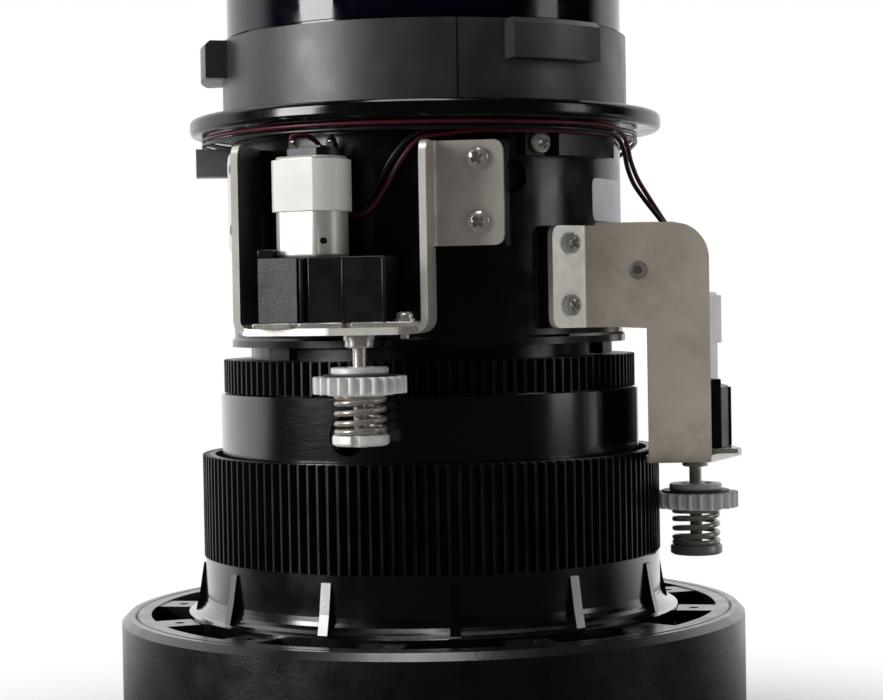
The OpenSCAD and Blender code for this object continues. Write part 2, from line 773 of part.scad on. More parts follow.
module sleeve_lock_ring() {
    color("dimgray") translate([0, 0, sleeve_foot_z - lock_h])
        difference() {
            ring(guide_r + fit_gap, lock_r, lock_h);
            for (a = [0, half_turn])
                facing(a) block(-ring_notch_w / 2, ring_notch_w / 2, lock_r - ring_notch_depth,
                    lock_r + cut, -cut, lock_h + cut);
        }
}

module neck_stops() {
    color([0.12, 0.12, 0.12]) for (a = stop_places)
        translate([0, 0, neck_z + move_gap])
            sector(neck_r, neck_r + stop_out, neck_h - move_gap, a, stop_span_a);
}

module locating_lug() {
    color("gray") facing(locator_a)
        difference() {
            block(-locator_w / 2, locator_w / 2, barrel_r - cut, locator_r,
                flange_z - locator_gap - locator_h, flange_z - locator_gap);
            translate([0, 0, flange_z - 2 * locator_h]) cylinder(r = barrel_r, h = 2 * locator_h);
        }
}

module lead_clamp() {
    ear_start_a = clamp_ear_a - clamp_ear_span_a / 2;
    end_a = clamp_a + clamp_span_a / 2;
    step_a = clamp_a - clamp_span_a / 2;
    color([0.1, 0.1, 0.1]) translate([0, 0, flange_z - clamp_h]) difference() {
        sector(barrel_r, clamp_r, clamp_h, (ear_start_a + end_a) / 2, end_a - ear_start_a);
        translate([0, 0, -cut]) sector(barrel_r + clamp_ear_t, clamp_r + cut, clamp_h + 2 * cut,
            step_a - clamp_ear_span_a, 2 * clamp_ear_span_a);
        out_drill(clamp_ear_a, clamp_h - clamp_screw_drop, screw_r + screw_clear,
            barrel_r - cut, barrel_r + clamp_ear_t + cut);
    }
}

module clamp_screw() {
    color("silver")
        out_screw(clamp_ear_a, flange_z - clamp_screw_drop, barrel_r + clamp_ear_t, screw_length);
}

module bare_label() {
    color("gainsboro") translate([0, 0, flange_z - label_drop])
        sector(barrel_r, barrel_r + label_t, label_h, label_a + label_span_a / 2, label_span_a);
}

// Brackets

module bracket_screw_places() {
    for (z = [flange_screw_low, flange_screw_high]) {
        facing(zoom_drive_a) translate([flange_screw_u, 0, zoom_flange_z + z])
            rotate([quarter_turn, 0, 0]) children();
        facing(zoom_drive_a + left_flange_a) translate([0, 0, zoom_flange_z + z])
            rotate([quarter_turn, 0, 0]) children();
        facing(focus_drive_a) translate([flange_screw_u, 0, focus_flange_z + z])
            rotate([quarter_turn, 0, 0]) children();
        facing(focus_drive_a + left_flange_a) translate([0, 0, focus_flange_z + z])
            rotate([quarter_turn, 0, 0]) children();
    }
}

module sheet_arm(outer_u) {
    translate([outer_u, 0, 0]) rotate([0, 0, -quarter_turn]) rotate([quarter_turn, 0, 0])
        linear_extrude(sheet_t) children();
}

function bend_u(left_u) = (left_flange_d * sin(-left_flange_a) - left_u) / cos(left_flange_a);
function bend_d(left_u) = left_flange_d * cos(left_flange_a) - bend_u(left_u) * sin(left_flange_a);

module mount_flanges(left_u, right_u, z) {
    block(right_u - sheet_t, right_u + right_flange_w, flange_gap_d - sheet_t, flange_gap_d,
        z, z + flange_h);
    facing(left_flange_a)
        block(-left_flange_w / 2, bend_u(left_u), left_flange_d - sheet_t, left_flange_d,
            z, z + flange_h);
}

module bracket_floor(left_u, right_u, arm_d, tab_u, nose_d, tab_right_d, clear_r, output_d, screw_d, z) {
    difference() {
        translate([0, 0, z]) linear_extrude(sheet_t) polygon([
            [-left_u, 0], [-left_u, -arm_d], [sheet_t - left_u, -arm_d],
            [-tab_u, -nose_d], [right_u, -tab_right_d], [right_u, 0]]);
        translate([0, 0, z - cut]) cylinder(r = clear_r, h = sheet_t + 2 * cut);
        translate([output_u, -output_d, z - cut])
            cylinder(r = shaft_r + move_gap, h = sheet_t + 2 * cut);
        translate([floor_screw_u, -screw_d, z - cut])
            cylinder(r = floor_screw_r + screw_clear, h = sheet_t + 2 * cut);
    }
}

module zoom_bracket() {
    top_z = zoom_floor_z + zoom_arm_h;
    corner = [zoom_arm_d - arm_round, top_z - arm_round];
    color([0.62, 0.6, 0.57]) difference() {
        facing(zoom_drive_a) {
            sheet_arm(sheet_t - zoom_left_u) polygon(concat(
                [[bend_d(zoom_left_u) - arm_foot_d, zoom_floor_z], [zoom_arm_d, zoom_floor_z]],
                arc(corner, arm_round, 0, quarter_turn, arc_steps),
                [[bend_d(zoom_left_u) - arm_foot_d, top_z]]));
            sheet_arm(zoom_right_u) polygon(concat(
                [[flange_gap_d - sheet_t, zoom_floor_z], [zoom_arm_d, zoom_floor_z]],
                arc(corner, arm_round, 0, quarter_turn, arc_steps),
                [[flange_gap_d - sheet_t, top_z]]));
            mount_flanges(zoom_left_u, zoom_right_u, zoom_flange_z);
            bracket_floor(zoom_left_u, zoom_right_u, zoom_arm_d, zoom_tab_u, zoom_nose_d,
                zoom_tab_right_d, barrel_r + arm_foot_d, zoom_output_d, zoom_screw_d, zoom_floor_z);
        }
        bracket_screw_places() cylinder(r = screw_r + screw_clear, h = left_flange_d + cut);
    }
}

module focus_bracket() {
    top_z = focus_floor_z + focus_arm_h;
    low_z = focus_floor_z + focus_low_h;
    corner = [focus_arm_d - focus_arm_round, top_z - focus_arm_round];
    color([0.6, 0.57, 0.54]) difference() {
        facing(focus_drive_a) {
            sheet_arm(sheet_t - focus_left_u) polygon(concat(
                [[focus_low_d, focus_floor_z], [focus_arm_d, focus_floor_z]],
                arc(corner, focus_arm_round, 0, quarter_turn, arc_steps),
                [[bend_d(focus_left_u) - arm_foot_d, top_z],
                [bend_d(focus_left_u) - arm_foot_d, low_z], [focus_low_d, low_z]]));
            sheet_arm(focus_right_u) polygon(concat(
                [[focus_clear_r, focus_floor_z], [focus_arm_d, focus_floor_z]],
                arc(corner, focus_arm_round, 0, quarter_turn, arc_steps),
                [[flange_gap_d - sheet_t, top_z], [flange_gap_d - sheet_t, low_z],
                [focus_clear_r, low_z]]));
            mount_flanges(focus_left_u, focus_right_u, focus_flange_z);
            bracket_floor(focus_left_u, focus_right_u, focus_arm_d, focus_tab_u, focus_nose_d,
                focus_tab_right_d, focus_clear_r, focus_output_d, focus_screw_d, focus_floor_z);
        }
        bracket_screw_places() cylinder(r = screw_r + screw_clear, h = left_flange_d + cut);
        facing(focus_drive_a) translate([-focus_left_u - cut, -dimple_d, focus_flange_z + dimple_lift])
            rotate([0, quarter_turn, 0]) cylinder(r = dimple_r, h = sheet_t + 2 * cut);
    }
}

module pad_pair(drive_a, left_u, right_u, z) {
    facing(drive_a) {
        block(right_u + pad_inset, right_u + right_flange_w, 0, flange_gap_d - sheet_t, z, z + flange_h);
        facing(left_flange_a)
            block(-left_flange_w / 2, bend_u(left_u) - pad_inset, 0, left_flange_d - sheet_t,
                z, z + flange_h);
    }
}

module bracket_pads() {
    color([0.08, 0.08, 0.08]) difference() {
        union() {
            pad_pair(zoom_drive_a, zoom_left_u, zoom_right_u, zoom_flange_z);
            pad_pair(focus_drive_a, focus_left_u, focus_right_u, focus_flange_z);
        }
        translate([0, 0, neck_z]) cylinder(r = barrel_r, h = band_z);
        bracket_screw_places() cylinder(r = screw_r + screw_clear, h = left_flange_d + cut);
    }
}

module bracket_screws() {
    color("silver") for (z = [flange_screw_low, flange_screw_high]) {
        for (side = [[zoom_drive_a, zoom_flange_z], [focus_drive_a, focus_flange_z]]) {
            facing(side[0]) translate([flange_screw_u, 0, 0])
                out_screw(0, side[1] + z, flange_gap_d, long_screw_length);
            out_screw(side[0] + left_flange_a, side[1] + z, left_flange_d, screw_length);
        }
    }
}

module floor_screws() {
    length = sheet_t + floor_screw_tip;
    color("silver") {
        facing(zoom_drive_a) translate([floor_screw_u, -zoom_screw_d, zoom_floor_z - floor_screw_tip])
            screw(length, floor_screw_r, floor_screw_head_r, floor_screw_head_h);
        facing(focus_drive_a)
            translate([floor_screw_u, -focus_screw_d, focus_floor_z - floor_screw_tip])
                screw(length, floor_screw_r, floor_screw_head_r, floor_screw_head_h);
    }
}

// Gearmotors, each drawn in its own drive's frame

module gearbox(d, output_d, z) {
    low_z = z + sheet_t + plate_t;
    top_z = low_z + gearbox_h;
    difference() {
        union() {
            block(gearbox_u, gearbox_u + gearbox_w, d, d + gearbox_d, low_z, top_z);
            block(gearbox_u, gearbox_u + gearbox_ear_w, d + gearbox_d - gearbox_ear_d,
                d + gearbox_d, top_z, top_z + gearbox_ear_h);
            block(gearbox_u + gearbox_w - gearbox_rib_w, gearbox_u + gearbox_w, d + gearbox_d,
                d + gearbox_d + edge, low_z, top_z);
        }
        translate([gearbox_u, -d - gearbox_d, low_z - cut]) linear_extrude(gearbox_h + 2 * cut)
            polygon([[-cut, -cut], [gearbox_cut_w, -cut], [gearbox_cut_w - gearbox_cut_d / 2, 0],
                [0, gearbox_cut_d], [-cut, gearbox_cut_d]]);
        translate([output_u, -output_d, low_z - cut])
            cylinder(r = shaft_r + move_gap, h = shaft_rise + cut);
    }
}

module zoom_gearbox() {
    color([0.1, 0.1, 0.11]) facing(zoom_drive_a) gearbox(zoom_gearbox_d, zoom_output_d, zoom_floor_z);
}

module focus_gearbox() {
    color([0.1, 0.1, 0.11]) facing(focus_drive_a)
        gearbox(focus_gearbox_d, focus_output_d, focus_floor_z);
}

module gearbox_plate(d, output_d, z) {
    front_d = d + gearbox_d + plate_rim;
    difference() {
        block(gearbox_u - plate_rim, gearbox_u + gearbox_w + plate_rim, d, front_d,
            z + sheet_t, z + sheet_t + plate_t);
        for (u = plate_notch_places)
            block(u - plate_notch_w / 2, u + plate_notch_w / 2, front_d - plate_notch_depth,
                front_d + cut, z + sheet_t - cut, z + sheet_t + plate_t + cut);
        translate([output_u, -output_d, z]) cylinder(r = shaft_r + move_gap, h = sheet_t + 2 * plate_t);
    }
}

module zoom_gearbox_plate() {
    color("silver") facing(zoom_drive_a) gearbox_plate(zoom_gearbox_d, zoom_output_d, zoom_floor_z);
}

module focus_gearbox_plate() {
    color("silver") facing(focus_drive_a)
        gearbox_plate(focus_gearbox_d, focus_output_d, focus_floor_z);
}

module can_shape(r, flat_w, h) {
    rotate([0, 0, motor_turn_a]) intersection() {
        cylinder(r = r, h = h);
        translate([-flat_w / 2, -r - cut, -cut]) cube([flat_w, 2 * (r + cut), h + 2 * cut]);
    }
}

module at_motors() {
    low = sheet_t + plate_t + gearbox_h;
    facing(zoom_drive_a) translate([motor_u, -zoom_motor_d, zoom_floor_z + low]) children();
    facing(focus_drive_a) translate([motor_u, -focus_motor_d, focus_floor_z + low]) children();
}

module zoom_motor() {
    color("silver") facing(zoom_drive_a)
        translate([motor_u, -zoom_motor_d, zoom_floor_z + sheet_t + plate_t + gearbox_h])
            can_shape(motor_r, motor_flat_w, motor_h);
}

module focus_motor() {
    color("silver") facing(focus_drive_a)
        translate([motor_u, -focus_motor_d, focus_floor_z + sheet_t + plate_t + gearbox_h])
            can_shape(motor_r, motor_flat_w, motor_h);
}

module motor_bands() {
    color("whitesmoke") at_motors() translate([0, 0, band_lift]) difference() {
        can_shape(motor_r + motor_band_t, motor_flat_w + 2 * motor_band_t, band_part_h);
        translate([0, 0, -cut])
            can_shape(motor_r + fit_gap, motor_flat_w + 2 * fit_gap, band_part_h + 2 * cut);
    }
}

module motor_caps() {
    color([0.08, 0.08, 0.08]) at_motors() translate([0, 0, motor_h])
        can_shape(cap_r, motor_flat_w - 2 * edge, cap_h);
}

module motor_terminals() {
    color("silver") at_motors() for (side = [-1, 1])
        translate([side * terminal_half_u - terminal_w / 2, -terminal_t / 2, motor_h + cap_h])
            cube([terminal_w, terminal_t, terminal_h]);
}

module bushing(output_d, z) {
    translate([output_u, -output_d, z - bushing_h]) ring(shaft_r + run_gap, bushing_r, bushing_h);
}

module output_bushings() {
    color("gray") {
        facing(zoom_drive_a) bushing(zoom_output_d, zoom_floor_z);
        facing(focus_drive_a) bushing(focus_output_d, focus_floor_z);
    }
}

// Leads and their connector

module lead(route) {
    tube([for (p = route) polar(p)], lead_r, lead_sides, [1, 0, 0]);
}

module zoom_lead_red() {
    color("crimson") lead(zoom_red_route);
}

module zoom_lead_black() {
    color([0.1, 0.1, 0.1]) lead(zoom_black_route);
}

module focus_lead_red() {
    color("crimson") lead(focus_red_route);
}

module focus_lead_black() {
    color([0.1, 0.1, 0.1]) lead(focus_black_route);
}

module connector(a, side) {
    top_z = flange_z - connector_drop;
    difference() {
        facing(a) block(-connector_w / 2, connector_w / 2, 0, barrel_r + connector_d,
            top_z - connector_h, top_z);
        translate([0, 0, neck_z]) cylinder(r = barrel_r, h = band_z);
        facing(a) mirror([side < 0 ? 1 : 0, 0, 0])
            block(connector_wall, connector_w / 2 + cut, barrel_r + connector_wall,
                barrel_r + connector_d - connector_wall, top_z - connector_h + connector_wall,
                top_z - connector_wall);
    }
}

module lead_connector() {
    color("whitesmoke") for (i = [0 : 1]) connector(connector_places[i], i == 0 ? 1 : -1);
}

// Zoom ring and its cam tube

module gear(teeth, shares, h) {
    linear_extrude(h) polygon(gear_outline(teeth, shares));
}

module zoom_gear_ring() {
    color([0.75, 0.76, 0.78]) translate([0, 0, zoom_z]) difference() {
        facing(zoom_output_a - quarter_turn) gear(zoom_teeth, ring_flank_shares, zoom_ring_h);
        translate([0, 0, -cut]) cylinder(r = cam_r + fit_gap, h = zoom_ring_h + 2 * cut);
    }
}

module cam_slot(a, z, travel) {
    step_a = 2 * (zoom_swing_a + cam_end_a) / cam_steps;
    slope = travel / zoom_swing_a;
    slope_a = atan(slope * half_turn / PI / cam_r);
    half_l = cam_r * tan(step_a / 2) / cos(slope_a) + cam_slot_w * tan(step_a / 2);
    for (i = [0 : cam_steps - 1]) {
        turn = (i + 0.5) * step_a - zoom_swing_a - cam_end_a;
        facing(a - turn) translate([0, -cam_r - cut, z + turn * slope])
            rotate([0, slope_a, 0])
                translate([-half_l, 0, -cam_slot_w / 2]) cube([2 * half_l, cam_wall + 2 * cut, cam_slot_w]);
    }
}

module cam_tube() {
    color("lightsteelblue") difference() {
        translate([0, 0, cam_z]) ring(guide_r + run_gap, cam_r, zoom_top_z - cam_z);
        for (i = [0 : pin_count - 1]) {
            cam_slot(variator_pin_a + i * full_turn / pin_count, variator_z + variator_h / 2,
                variator_travel);
            cam_slot(compensator_pin_a + i * full_turn / pin_count,
                compensator_z + compensator_h / 2, -compensator_travel);
        }
    }
}

// Clutch drives: shaft with its collar, pinion, spring and disc

module drive_shaft(collar_z, floor_z) {
    low_z = collar_z - pinion_h - spring_h - disc_h;
    translate([0, 0, low_z])
        cylinder(r = shaft_r, h = floor_z + sheet_t + shaft_rise - edge - low_z);
    translate([0, 0, collar_z]) cylinder(r = clutch_r, h = collar_h);
}

module pinion(collar_z) {
    difference() {
        union() {
            translate([0, 0, collar_z - pinion_h])
                facing(quarter_turn + half_turn / pinion_teeth)
                    gear(pinion_teeth, pinion_flank_shares, pinion_h);
            translate([0, 0, collar_z - pinion_h - hub_h]) cylinder(r = hub_r, h = hub_h + edge);
        }
        translate([0, 0, collar_z - pinion_h - hub_h - cut])
            cylinder(r = shaft_r + fit_gap, h = pinion_h + hub_h + 2 * cut);
    }
}

module clutch_spring(collar_z) {
    translate([0, 0, collar_z - pinion_h - spring_h])
        tube(spring_path(), spring_wire / 2, spring_sides, [1, 0, 0]);
}

module clutch_disc(collar_z) {
    translate([0, 0, collar_z - pinion_h - spring_h - disc_h]) difference() {
        ring(shaft_r + fit_gap, clutch_r, disc_h);
        block(-disc_notch_w / 2, disc_notch_w / 2, clutch_r - disc_notch_depth, clutch_r + cut,
            -cut, disc_h + cut);
    }
}

module at_zoom_output() {
    facing(zoom_output_a) translate([0, -zoom_centre_d, 0]) children();
}

module at_focus_output() {
    facing(focus_output_a) translate([0, -focus_centre_d, 0]) children();
}

module zoom_drive_shaft() {
    color("silver") at_zoom_output() drive_shaft(zoom_collar_z, zoom_floor_z);
}

module zoom_pinion() {
    color("white") at_zoom_output() pinion(zoom_collar_z);
}

module zoom_clutch_spring() {
    color("gray") at_zoom_output() clutch_spring(zoom_collar_z);
}

module zoom_clutch_disc() {
    color("silver") at_zoom_output() clutch_disc(zoom_collar_z);
}

module focus_drive_shaft() {
    color("silver") at_focus_output() drive_shaft(focus_collar_z, focus_floor_z);
}

module focus_pinion() {
    color("white") at_focus_output() pinion(focus_collar_z);
}

module focus_clutch_spring() {
    color("gray") at_focus_output() clutch_spring(focus_collar_z);
}

module focus_clutch_disc() {
    color("silver") at_focus_output() clutch_disc(focus_collar_z);
}

// Zoom groups in the guide tube

module group_cell(z, h, pin_a) {
    inner = cell_r - cell_wall;
    translate([0, 0, z]) difference() {
        rotate_extrude() polygon([
            [inner - cell_shoulder_w, 0], [cell_r, 0], [cell_r, h], [inner, h],
            [inner, cell_shoulder_h], [inner - cell_shoulder_w, cell_shoulder_h]]);
        for (i = [0 : pin_count - 1])
            out_drill(pin_a + i * full_turn / pin_count, h / 2, pin_r + fit_gap,
                cell_r - pin_depth, cell_r + cut);
    }
}

module group_pins(z, h, pin_a) {
    for (i = [0 : pin_count - 1])
        out_drill(pin_a + i * full_turn / pin_count, z + h / 2, pin_r, cell_r - pin_depth, cam_r - fit_gap);
}

module variator_cell() {
    color([0.2, 0.2, 0.22]) group_cell(variator_z, variator_h, variator_pin_a);
}

module variator_lens() {
    color("lightcyan") translate([0, 0, variator_z + cell_shoulder_h])
        lens(cell_r - cell_wall - run_gap, variator_edge_h, -variator_hollow_h, -variator_hollow_h);
}

module variator_pins() {
    color("goldenrod") group_pins(variator_z, variator_h, variator_pin_a);
}

module compensator_cell() {
    color([0.2, 0.2, 0.22]) group_cell(compensator_z, compensator_h, compensator_pin_a);
}

module compensator_lens() {
    color("lightcyan") translate([0, 0, compensator_z + cell_shoulder_h])
        lens(cell_r - cell_wall - run_gap, compensator_edge_h, cell_shoulder_h / 2,
            compensator_bulge_h);
}

module compensator_pins() {
    color("goldenrod") group_pins(compensator_z, compensator_h, compensator_pin_a);
}

// Front group: its cell slides on two keys and doesn't turn

module front_cell() {
    seat_z = front_lens_z + front_edge_h;
    color([0.2, 0.2, 0.22]) {
        rotate_extrude() polygon([
            [front_seat_r, front_cell_z], [front_run_r - run_gap, front_cell_z],
            [front_run_r - run_gap, front_cell_top_z], [front_shoulder_r, front_cell_top_z],
            [front_shoulder_r, seat_z], [front_seat_r, seat_z]]);
        for (i = [0 : key_count - 1])
            facing(key_a + i * full_turn / key_count)
                block(-key_w / 2, key_w / 2, sleeve_r - sleeve_wall + run_gap, sleeve_r - run_gap,
                    front_cell_top_z - cut, key_top_z);
    }
}

module front_lens() {
    color("lightcyan") translate([0, 0, front_lens_z])
        lens(front_seat_r - run_gap, front_edge_h, front_bulge_h, -front_hollow_h);
}

module front_retaining_ring() {
    r = front_seat_r - run_gap;
    color("dimgray") translate([0, 0, front_lens_z - front_ring_h]) difference() {
        ring(r - edge, r, front_ring_h);
        for (a = [0, half_turn])
            facing(a) block(-ring_notch_w / 2, ring_notch_w / 2, r - 2 * edge, r + cut,
                -cut, ring_notch_depth);
    }
}

// Focus ring, cone and hood turn as one on the helicoid

module focus_gear_ring() {
    color([0.72, 0.73, 0.76]) translate([0, 0, cone_top_z]) difference() {
        facing(focus_output_a - quarter_turn) gear(focus_teeth, ring_flank_shares, focus_ring_h);
        translate([0, 0, -cut]) cylinder(r = sleeve_r + run_gap, h = focus_ring_h + 2 * cut);
        translate([0, 0, focus_land_h]) cylinder(r = sleeve_r + ring_gap, h = focus_ring_h);
    }
}

module ribbed_cone() {
    foot_top_z = hood_seat_z + foot_h;
    lip_z = front_cell_z - run_gap;
    color([0.5, 0.51, 0.54]) difference() {
        union() {
            rotate_extrude() polygon(concat(
                [[cone_lip_r, hood_seat_z], [cone_foot_r - edge, hood_seat_z],
                [cone_foot_r, hood_seat_z + edge], [cone_foot_r, foot_top_z - edge]],
                arc([cone_r + foot_flare, foot_top_z + foot_flare - edge], foot_flare, -quarter_turn,
                    -half_turn, arc_steps),
                [[cone_r, cone_top_z], [front_run_r, cone_top_z], [front_run_r, lip_z],
                [cone_lip_r, lip_z]]));
            for (i = [0 : ear_count - 1])
                facing(rib_a + i * full_turn / ear_count)
                    translate([rib_w / 2, 0, 0]) rotate([0, 0, -quarter_turn])
                        rotate([quarter_turn, 0, 0]) linear_extrude(rib_w) polygon([
                            [front_run_r + edge, foot_top_z - edge],
                            [cone_r + rib_low_out, foot_top_z - edge],
                            [cone_r + rib_out, foot_top_z + foot_flare],
                            [cone_r + edge / 2, cone_top_z - rib_top_drop],
                            [front_run_r + edge, cone_top_z - rib_top_drop]]);
        }
        for (i = [0 : hood_screw_count - 1])
            facing(i * full_turn / hood_screw_count)
                translate([0, -hood_screw_place_r, hood_seat_z - cut])
                    cylinder(r = hood_screw_r + screw_clear, h = hood_screw_bite + cut + edge / 2);
    }
}

module hood() {
    low_seat_z = hood_seat_z - hood_seat_t;
    color([0.35, 0.36, 0.4]) difference() {
        union() {
            rotate_extrude() polygon([
                [hood_inner_r + hood_lip_w, 0], [hood_r - edge, 0], [hood_r, edge],
                [hood_r, hood_h - hood_chamfer], [hood_r - hood_chamfer, hood_h],
                [hood_groove_r + hood_groove_w / 2, hood_h],
                [hood_groove_r, hood_h - hood_groove_depth],
                [hood_groove_r - hood_groove_w / 2, hood_h],
                [hood_inner_r, hood_h], [hood_inner_r, hood_lip_h],
                [hood_inner_r + hood_lip_w, hood_lip_h]]);
            translate([0, 0, low_seat_z]) ring(hood_seat_r, cone_foot_r + hood_seat_out, hood_seat_t);
            for (i = [0 : ear_count - 1])
                facing(ear_a + i * full_turn / ear_count)
                    block(-ear_w / 2, ear_w / 2, cone_foot_r + 2 * fit_gap, hood_inner_r + edge,
                        low_seat_z + ear_sink, hood_h - ear_sink);
        }
        for (i = [0 : ear_count - 1])
            facing(ear_a + i * full_turn / ear_count)
                translate([0, -cone_foot_r - ear_hole_out, low_seat_z - cut])
                    cylinder(r = ear_hole_r, h = hood_h);
        for (i = [0 : hood_screw_count - 1])
            facing(i * full_turn / hood_screw_count)
                translate([0, -hood_screw_place_r, low_seat_z - cut])
                    cylinder(r = hood_screw_r + screw_clear, h = hood_h);
    }
}

module hood_screws() {
    length = hood_seat_t + hood_screw_bite;
    color("silver") for (i = [0 : hood_screw_count - 1])
        facing(i * full_turn / hood_screw_count)
            translate([0, -hood_screw_place_r, hood_seat_z + hood_screw_bite])
                mirror([0, 0, 1])
                    screw(length, hood_screw_r, hood_screw_head_r, hood_screw_head_h);
}

rear_barrel();
rear_lens();
rear_retaining_ring();
bayonet_band();
mounting_flange();
main_barrel();
relay_lens();
relay_retaining_ring();
guide_tube();
helicoid_sleeve();
sleeve_lock_ring();
neck_stops();
locating_lug();
lead_clamp();
clamp_screw();
bare_label();
zoom_bracket();
focus_bracket();
bracket_pads();
bracket_screws();
floor_screws();
zoom_gearbox();
focus_gearbox();
zoom_gearbox_plate();
focus_gearbox_plate();
output_bushings();
zoom_motor();
focus_motor();
motor_bands();
motor_caps();
motor_terminals();
zoom_lead_red();
zoom_lead_black();
focus_lead_red();
focus_lead_black();
lead_connector();
zoom_gear_ring();
cam_tube();
zoom_drive_shaft();
zoom_pinion();
zoom_clutch_spring();
zoom_clutch_disc();
variator_cell();
variator_lens();
variator_pins();
compensator_cell();
compensator_lens();
compensator_pins();
front_cell();
front_lens();
front_retaining_ring();
focus_gear_ring();
ribbed_cone();
hood();
hood_screws();
focus_drive_shaft();
focus_pinion();
focus_clutch_spring();
focus_clutch_disc();
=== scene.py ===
"""Projection lens with two gearmotor drives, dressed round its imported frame."""
import json
import math

import bmesh
import bpy
from mathutils import Matrix, Vector


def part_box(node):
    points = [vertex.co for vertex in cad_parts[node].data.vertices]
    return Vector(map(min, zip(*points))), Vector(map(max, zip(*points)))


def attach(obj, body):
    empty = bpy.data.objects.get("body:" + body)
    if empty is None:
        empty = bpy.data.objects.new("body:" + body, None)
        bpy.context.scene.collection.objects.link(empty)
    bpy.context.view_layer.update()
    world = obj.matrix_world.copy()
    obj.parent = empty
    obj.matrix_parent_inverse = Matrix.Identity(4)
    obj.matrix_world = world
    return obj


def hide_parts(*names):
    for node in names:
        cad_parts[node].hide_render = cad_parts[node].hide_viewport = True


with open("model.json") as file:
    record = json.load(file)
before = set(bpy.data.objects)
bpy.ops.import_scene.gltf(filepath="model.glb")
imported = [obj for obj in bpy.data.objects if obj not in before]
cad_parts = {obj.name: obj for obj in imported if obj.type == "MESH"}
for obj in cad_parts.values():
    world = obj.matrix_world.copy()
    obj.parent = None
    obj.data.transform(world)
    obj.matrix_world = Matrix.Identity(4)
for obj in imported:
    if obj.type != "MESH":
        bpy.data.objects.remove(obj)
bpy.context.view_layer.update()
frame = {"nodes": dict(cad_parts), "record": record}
MM = 0.001
DEG = math.pi / 180


# Camera, from the photograph's perspective

CAMERA_PLACE = Vector((3.04, -535.5, 119.4)) * MM
CAMERA_PITCH = 1.234 * DEG
CAMERA_ROLL = -1.004 * DEG
IMAGE_WIDTH = 883
FOCAL_PIXELS = 2171.2
SENSOR_WIDTH = 36.0
CLIP = (0.01, 20)


def make_camera():
    data = bpy.data.cameras.new("camera")
    data.sensor_width = SENSOR_WIDTH
    data.lens = SENSOR_WIDTH * FOCAL_PIXELS / IMAGE_WIDTH
    data.clip_start, data.clip_end = CLIP
    camera = bpy.data.objects.new("camera", data)
    bpy.context.scene.collection.objects.link(camera)
    tilt = Matrix.Rotation(math.pi / 2 - CAMERA_PITCH, 4, "X")
    roll = Matrix.Rotation(CAMERA_ROLL, 4, "Z")
    camera.matrix_world = Matrix.Translation(CAMERA_PLACE) @ tilt @ roll
    bpy.context.scene.camera = camera


make_camera()


# Node helpers for materials

def set_input(node, name, value):
    node.inputs[name].default_value = value


class Surface:
    """A material of one Principled shader, with noise on its colour, roughness and height."""

    def __init__(self, name, color, roughness, metallic=0.0, **sockets):
        self.material = bpy.data.materials.new(name)
        self.material.use_nodes = True
        self.tree = self.material.node_tree
        self.shader = self.tree.nodes["Principled BSDF"]
        self.color = color
        self.roughness = roughness
        set_input(self.shader, "Base Color", (*color, 1))
        set_input(self.shader, "Roughness", roughness)
        set_input(self.shader, "Metallic", metallic)
        for socket, value in sockets.items():
            set_input(self.shader, socket.replace("_", " "), value)
        self.place = self.tree.nodes.new("ShaderNodeTexCoord").outputs["Object"]
        self.last_normal = None

    def link(self, source, target):
        self.tree.links.new(source, target)

    def noise(self, scale, detail=3.0, stretch=(1, 1, 1), rough=0.5):
        """Noise over the object, where scale is in features per metre."""
        mapping = self.tree.nodes.new("ShaderNodeMapping")
        mapping.inputs["Scale"].default_value = stretch
        self.link(self.place, mapping.inputs["Vector"])
        node = self.tree.nodes.new("ShaderNodeTexNoise")
        set_input(node, "Scale", scale)
        set_input(node, "Detail", detail)
        set_input(node, "Roughness", rough)
        self.link(mapping.outputs["Vector"], node.inputs["Vector"])
        return node.outputs["Fac"]

    def ramp(self, source, low, high, low_value, high_value):
        """Values between low_value and high_value as source goes from low to high."""
        node = self.tree.nodes.new("ShaderNodeMapRange")
        set_input(node, "From Min", low)
        set_input(node, "From Max", high)
        set_input(node, "To Min", low_value)
        set_input(node, "To Max", high_value)
        self.link(source, node.inputs["Value"])
        return node.outputs["Result"]

    def vary_color(self, source, other, low=0.35, high=0.65):
        """Mixes the base colour towards another one where the source is high."""
        mix = self.tree.nodes.new("ShaderNodeMix")
        mix.data_type = "RGBA"
        mix.inputs["A"].default_value = (*self.color, 1)
        mix.inputs["B"].default_value = (*other, 1)
        current = self.shader.inputs["Base Color"]
        if current.is_linked:
            self.link(current.links[0].from_socket, mix.inputs["A"])
        self.link(self.ramp(source, low, high, 0, 1), mix.inputs["Factor"])
        self.link(mix.outputs["Result"], current)
        return self

    def vary_roughness(self, source, spread, low=0.3, high=0.7):
        result = self.ramp(source, low, high, self.roughness - spread, self.roughness + spread)
        self.link(result, self.shader.inputs["Roughness"])
        return self

    def bump(self, source, height_mm, strength=1.0):
        node = self.tree.nodes.new("ShaderNodeBump")
        set_input(node, "Distance", height_mm * MM)
        set_input(node, "Strength", strength)
        self.link(source, node.inputs["Height"])
        if self.last_normal:
            self.link(self.last_normal, node.inputs["Normal"])
        self.last_normal = node.outputs["Normal"]
        self.link(self.last_normal, self.shader.inputs["Normal"])
        return self


def moulded(name, color, roughness, grain=2500, height=0.02, fade=1.6, **sockets):
    """Moulded plastic or a coated casting: fine grain, faint handling marks."""
    s = Surface(name, color, roughness, **sockets)
    s.vary_color(s.noise(90, 5), tuple(c * fade for c in color))
    s.vary_roughness(s.noise(140, 6), 0.08)
    s.bump(s.noise(grain, 2), height)
    return s


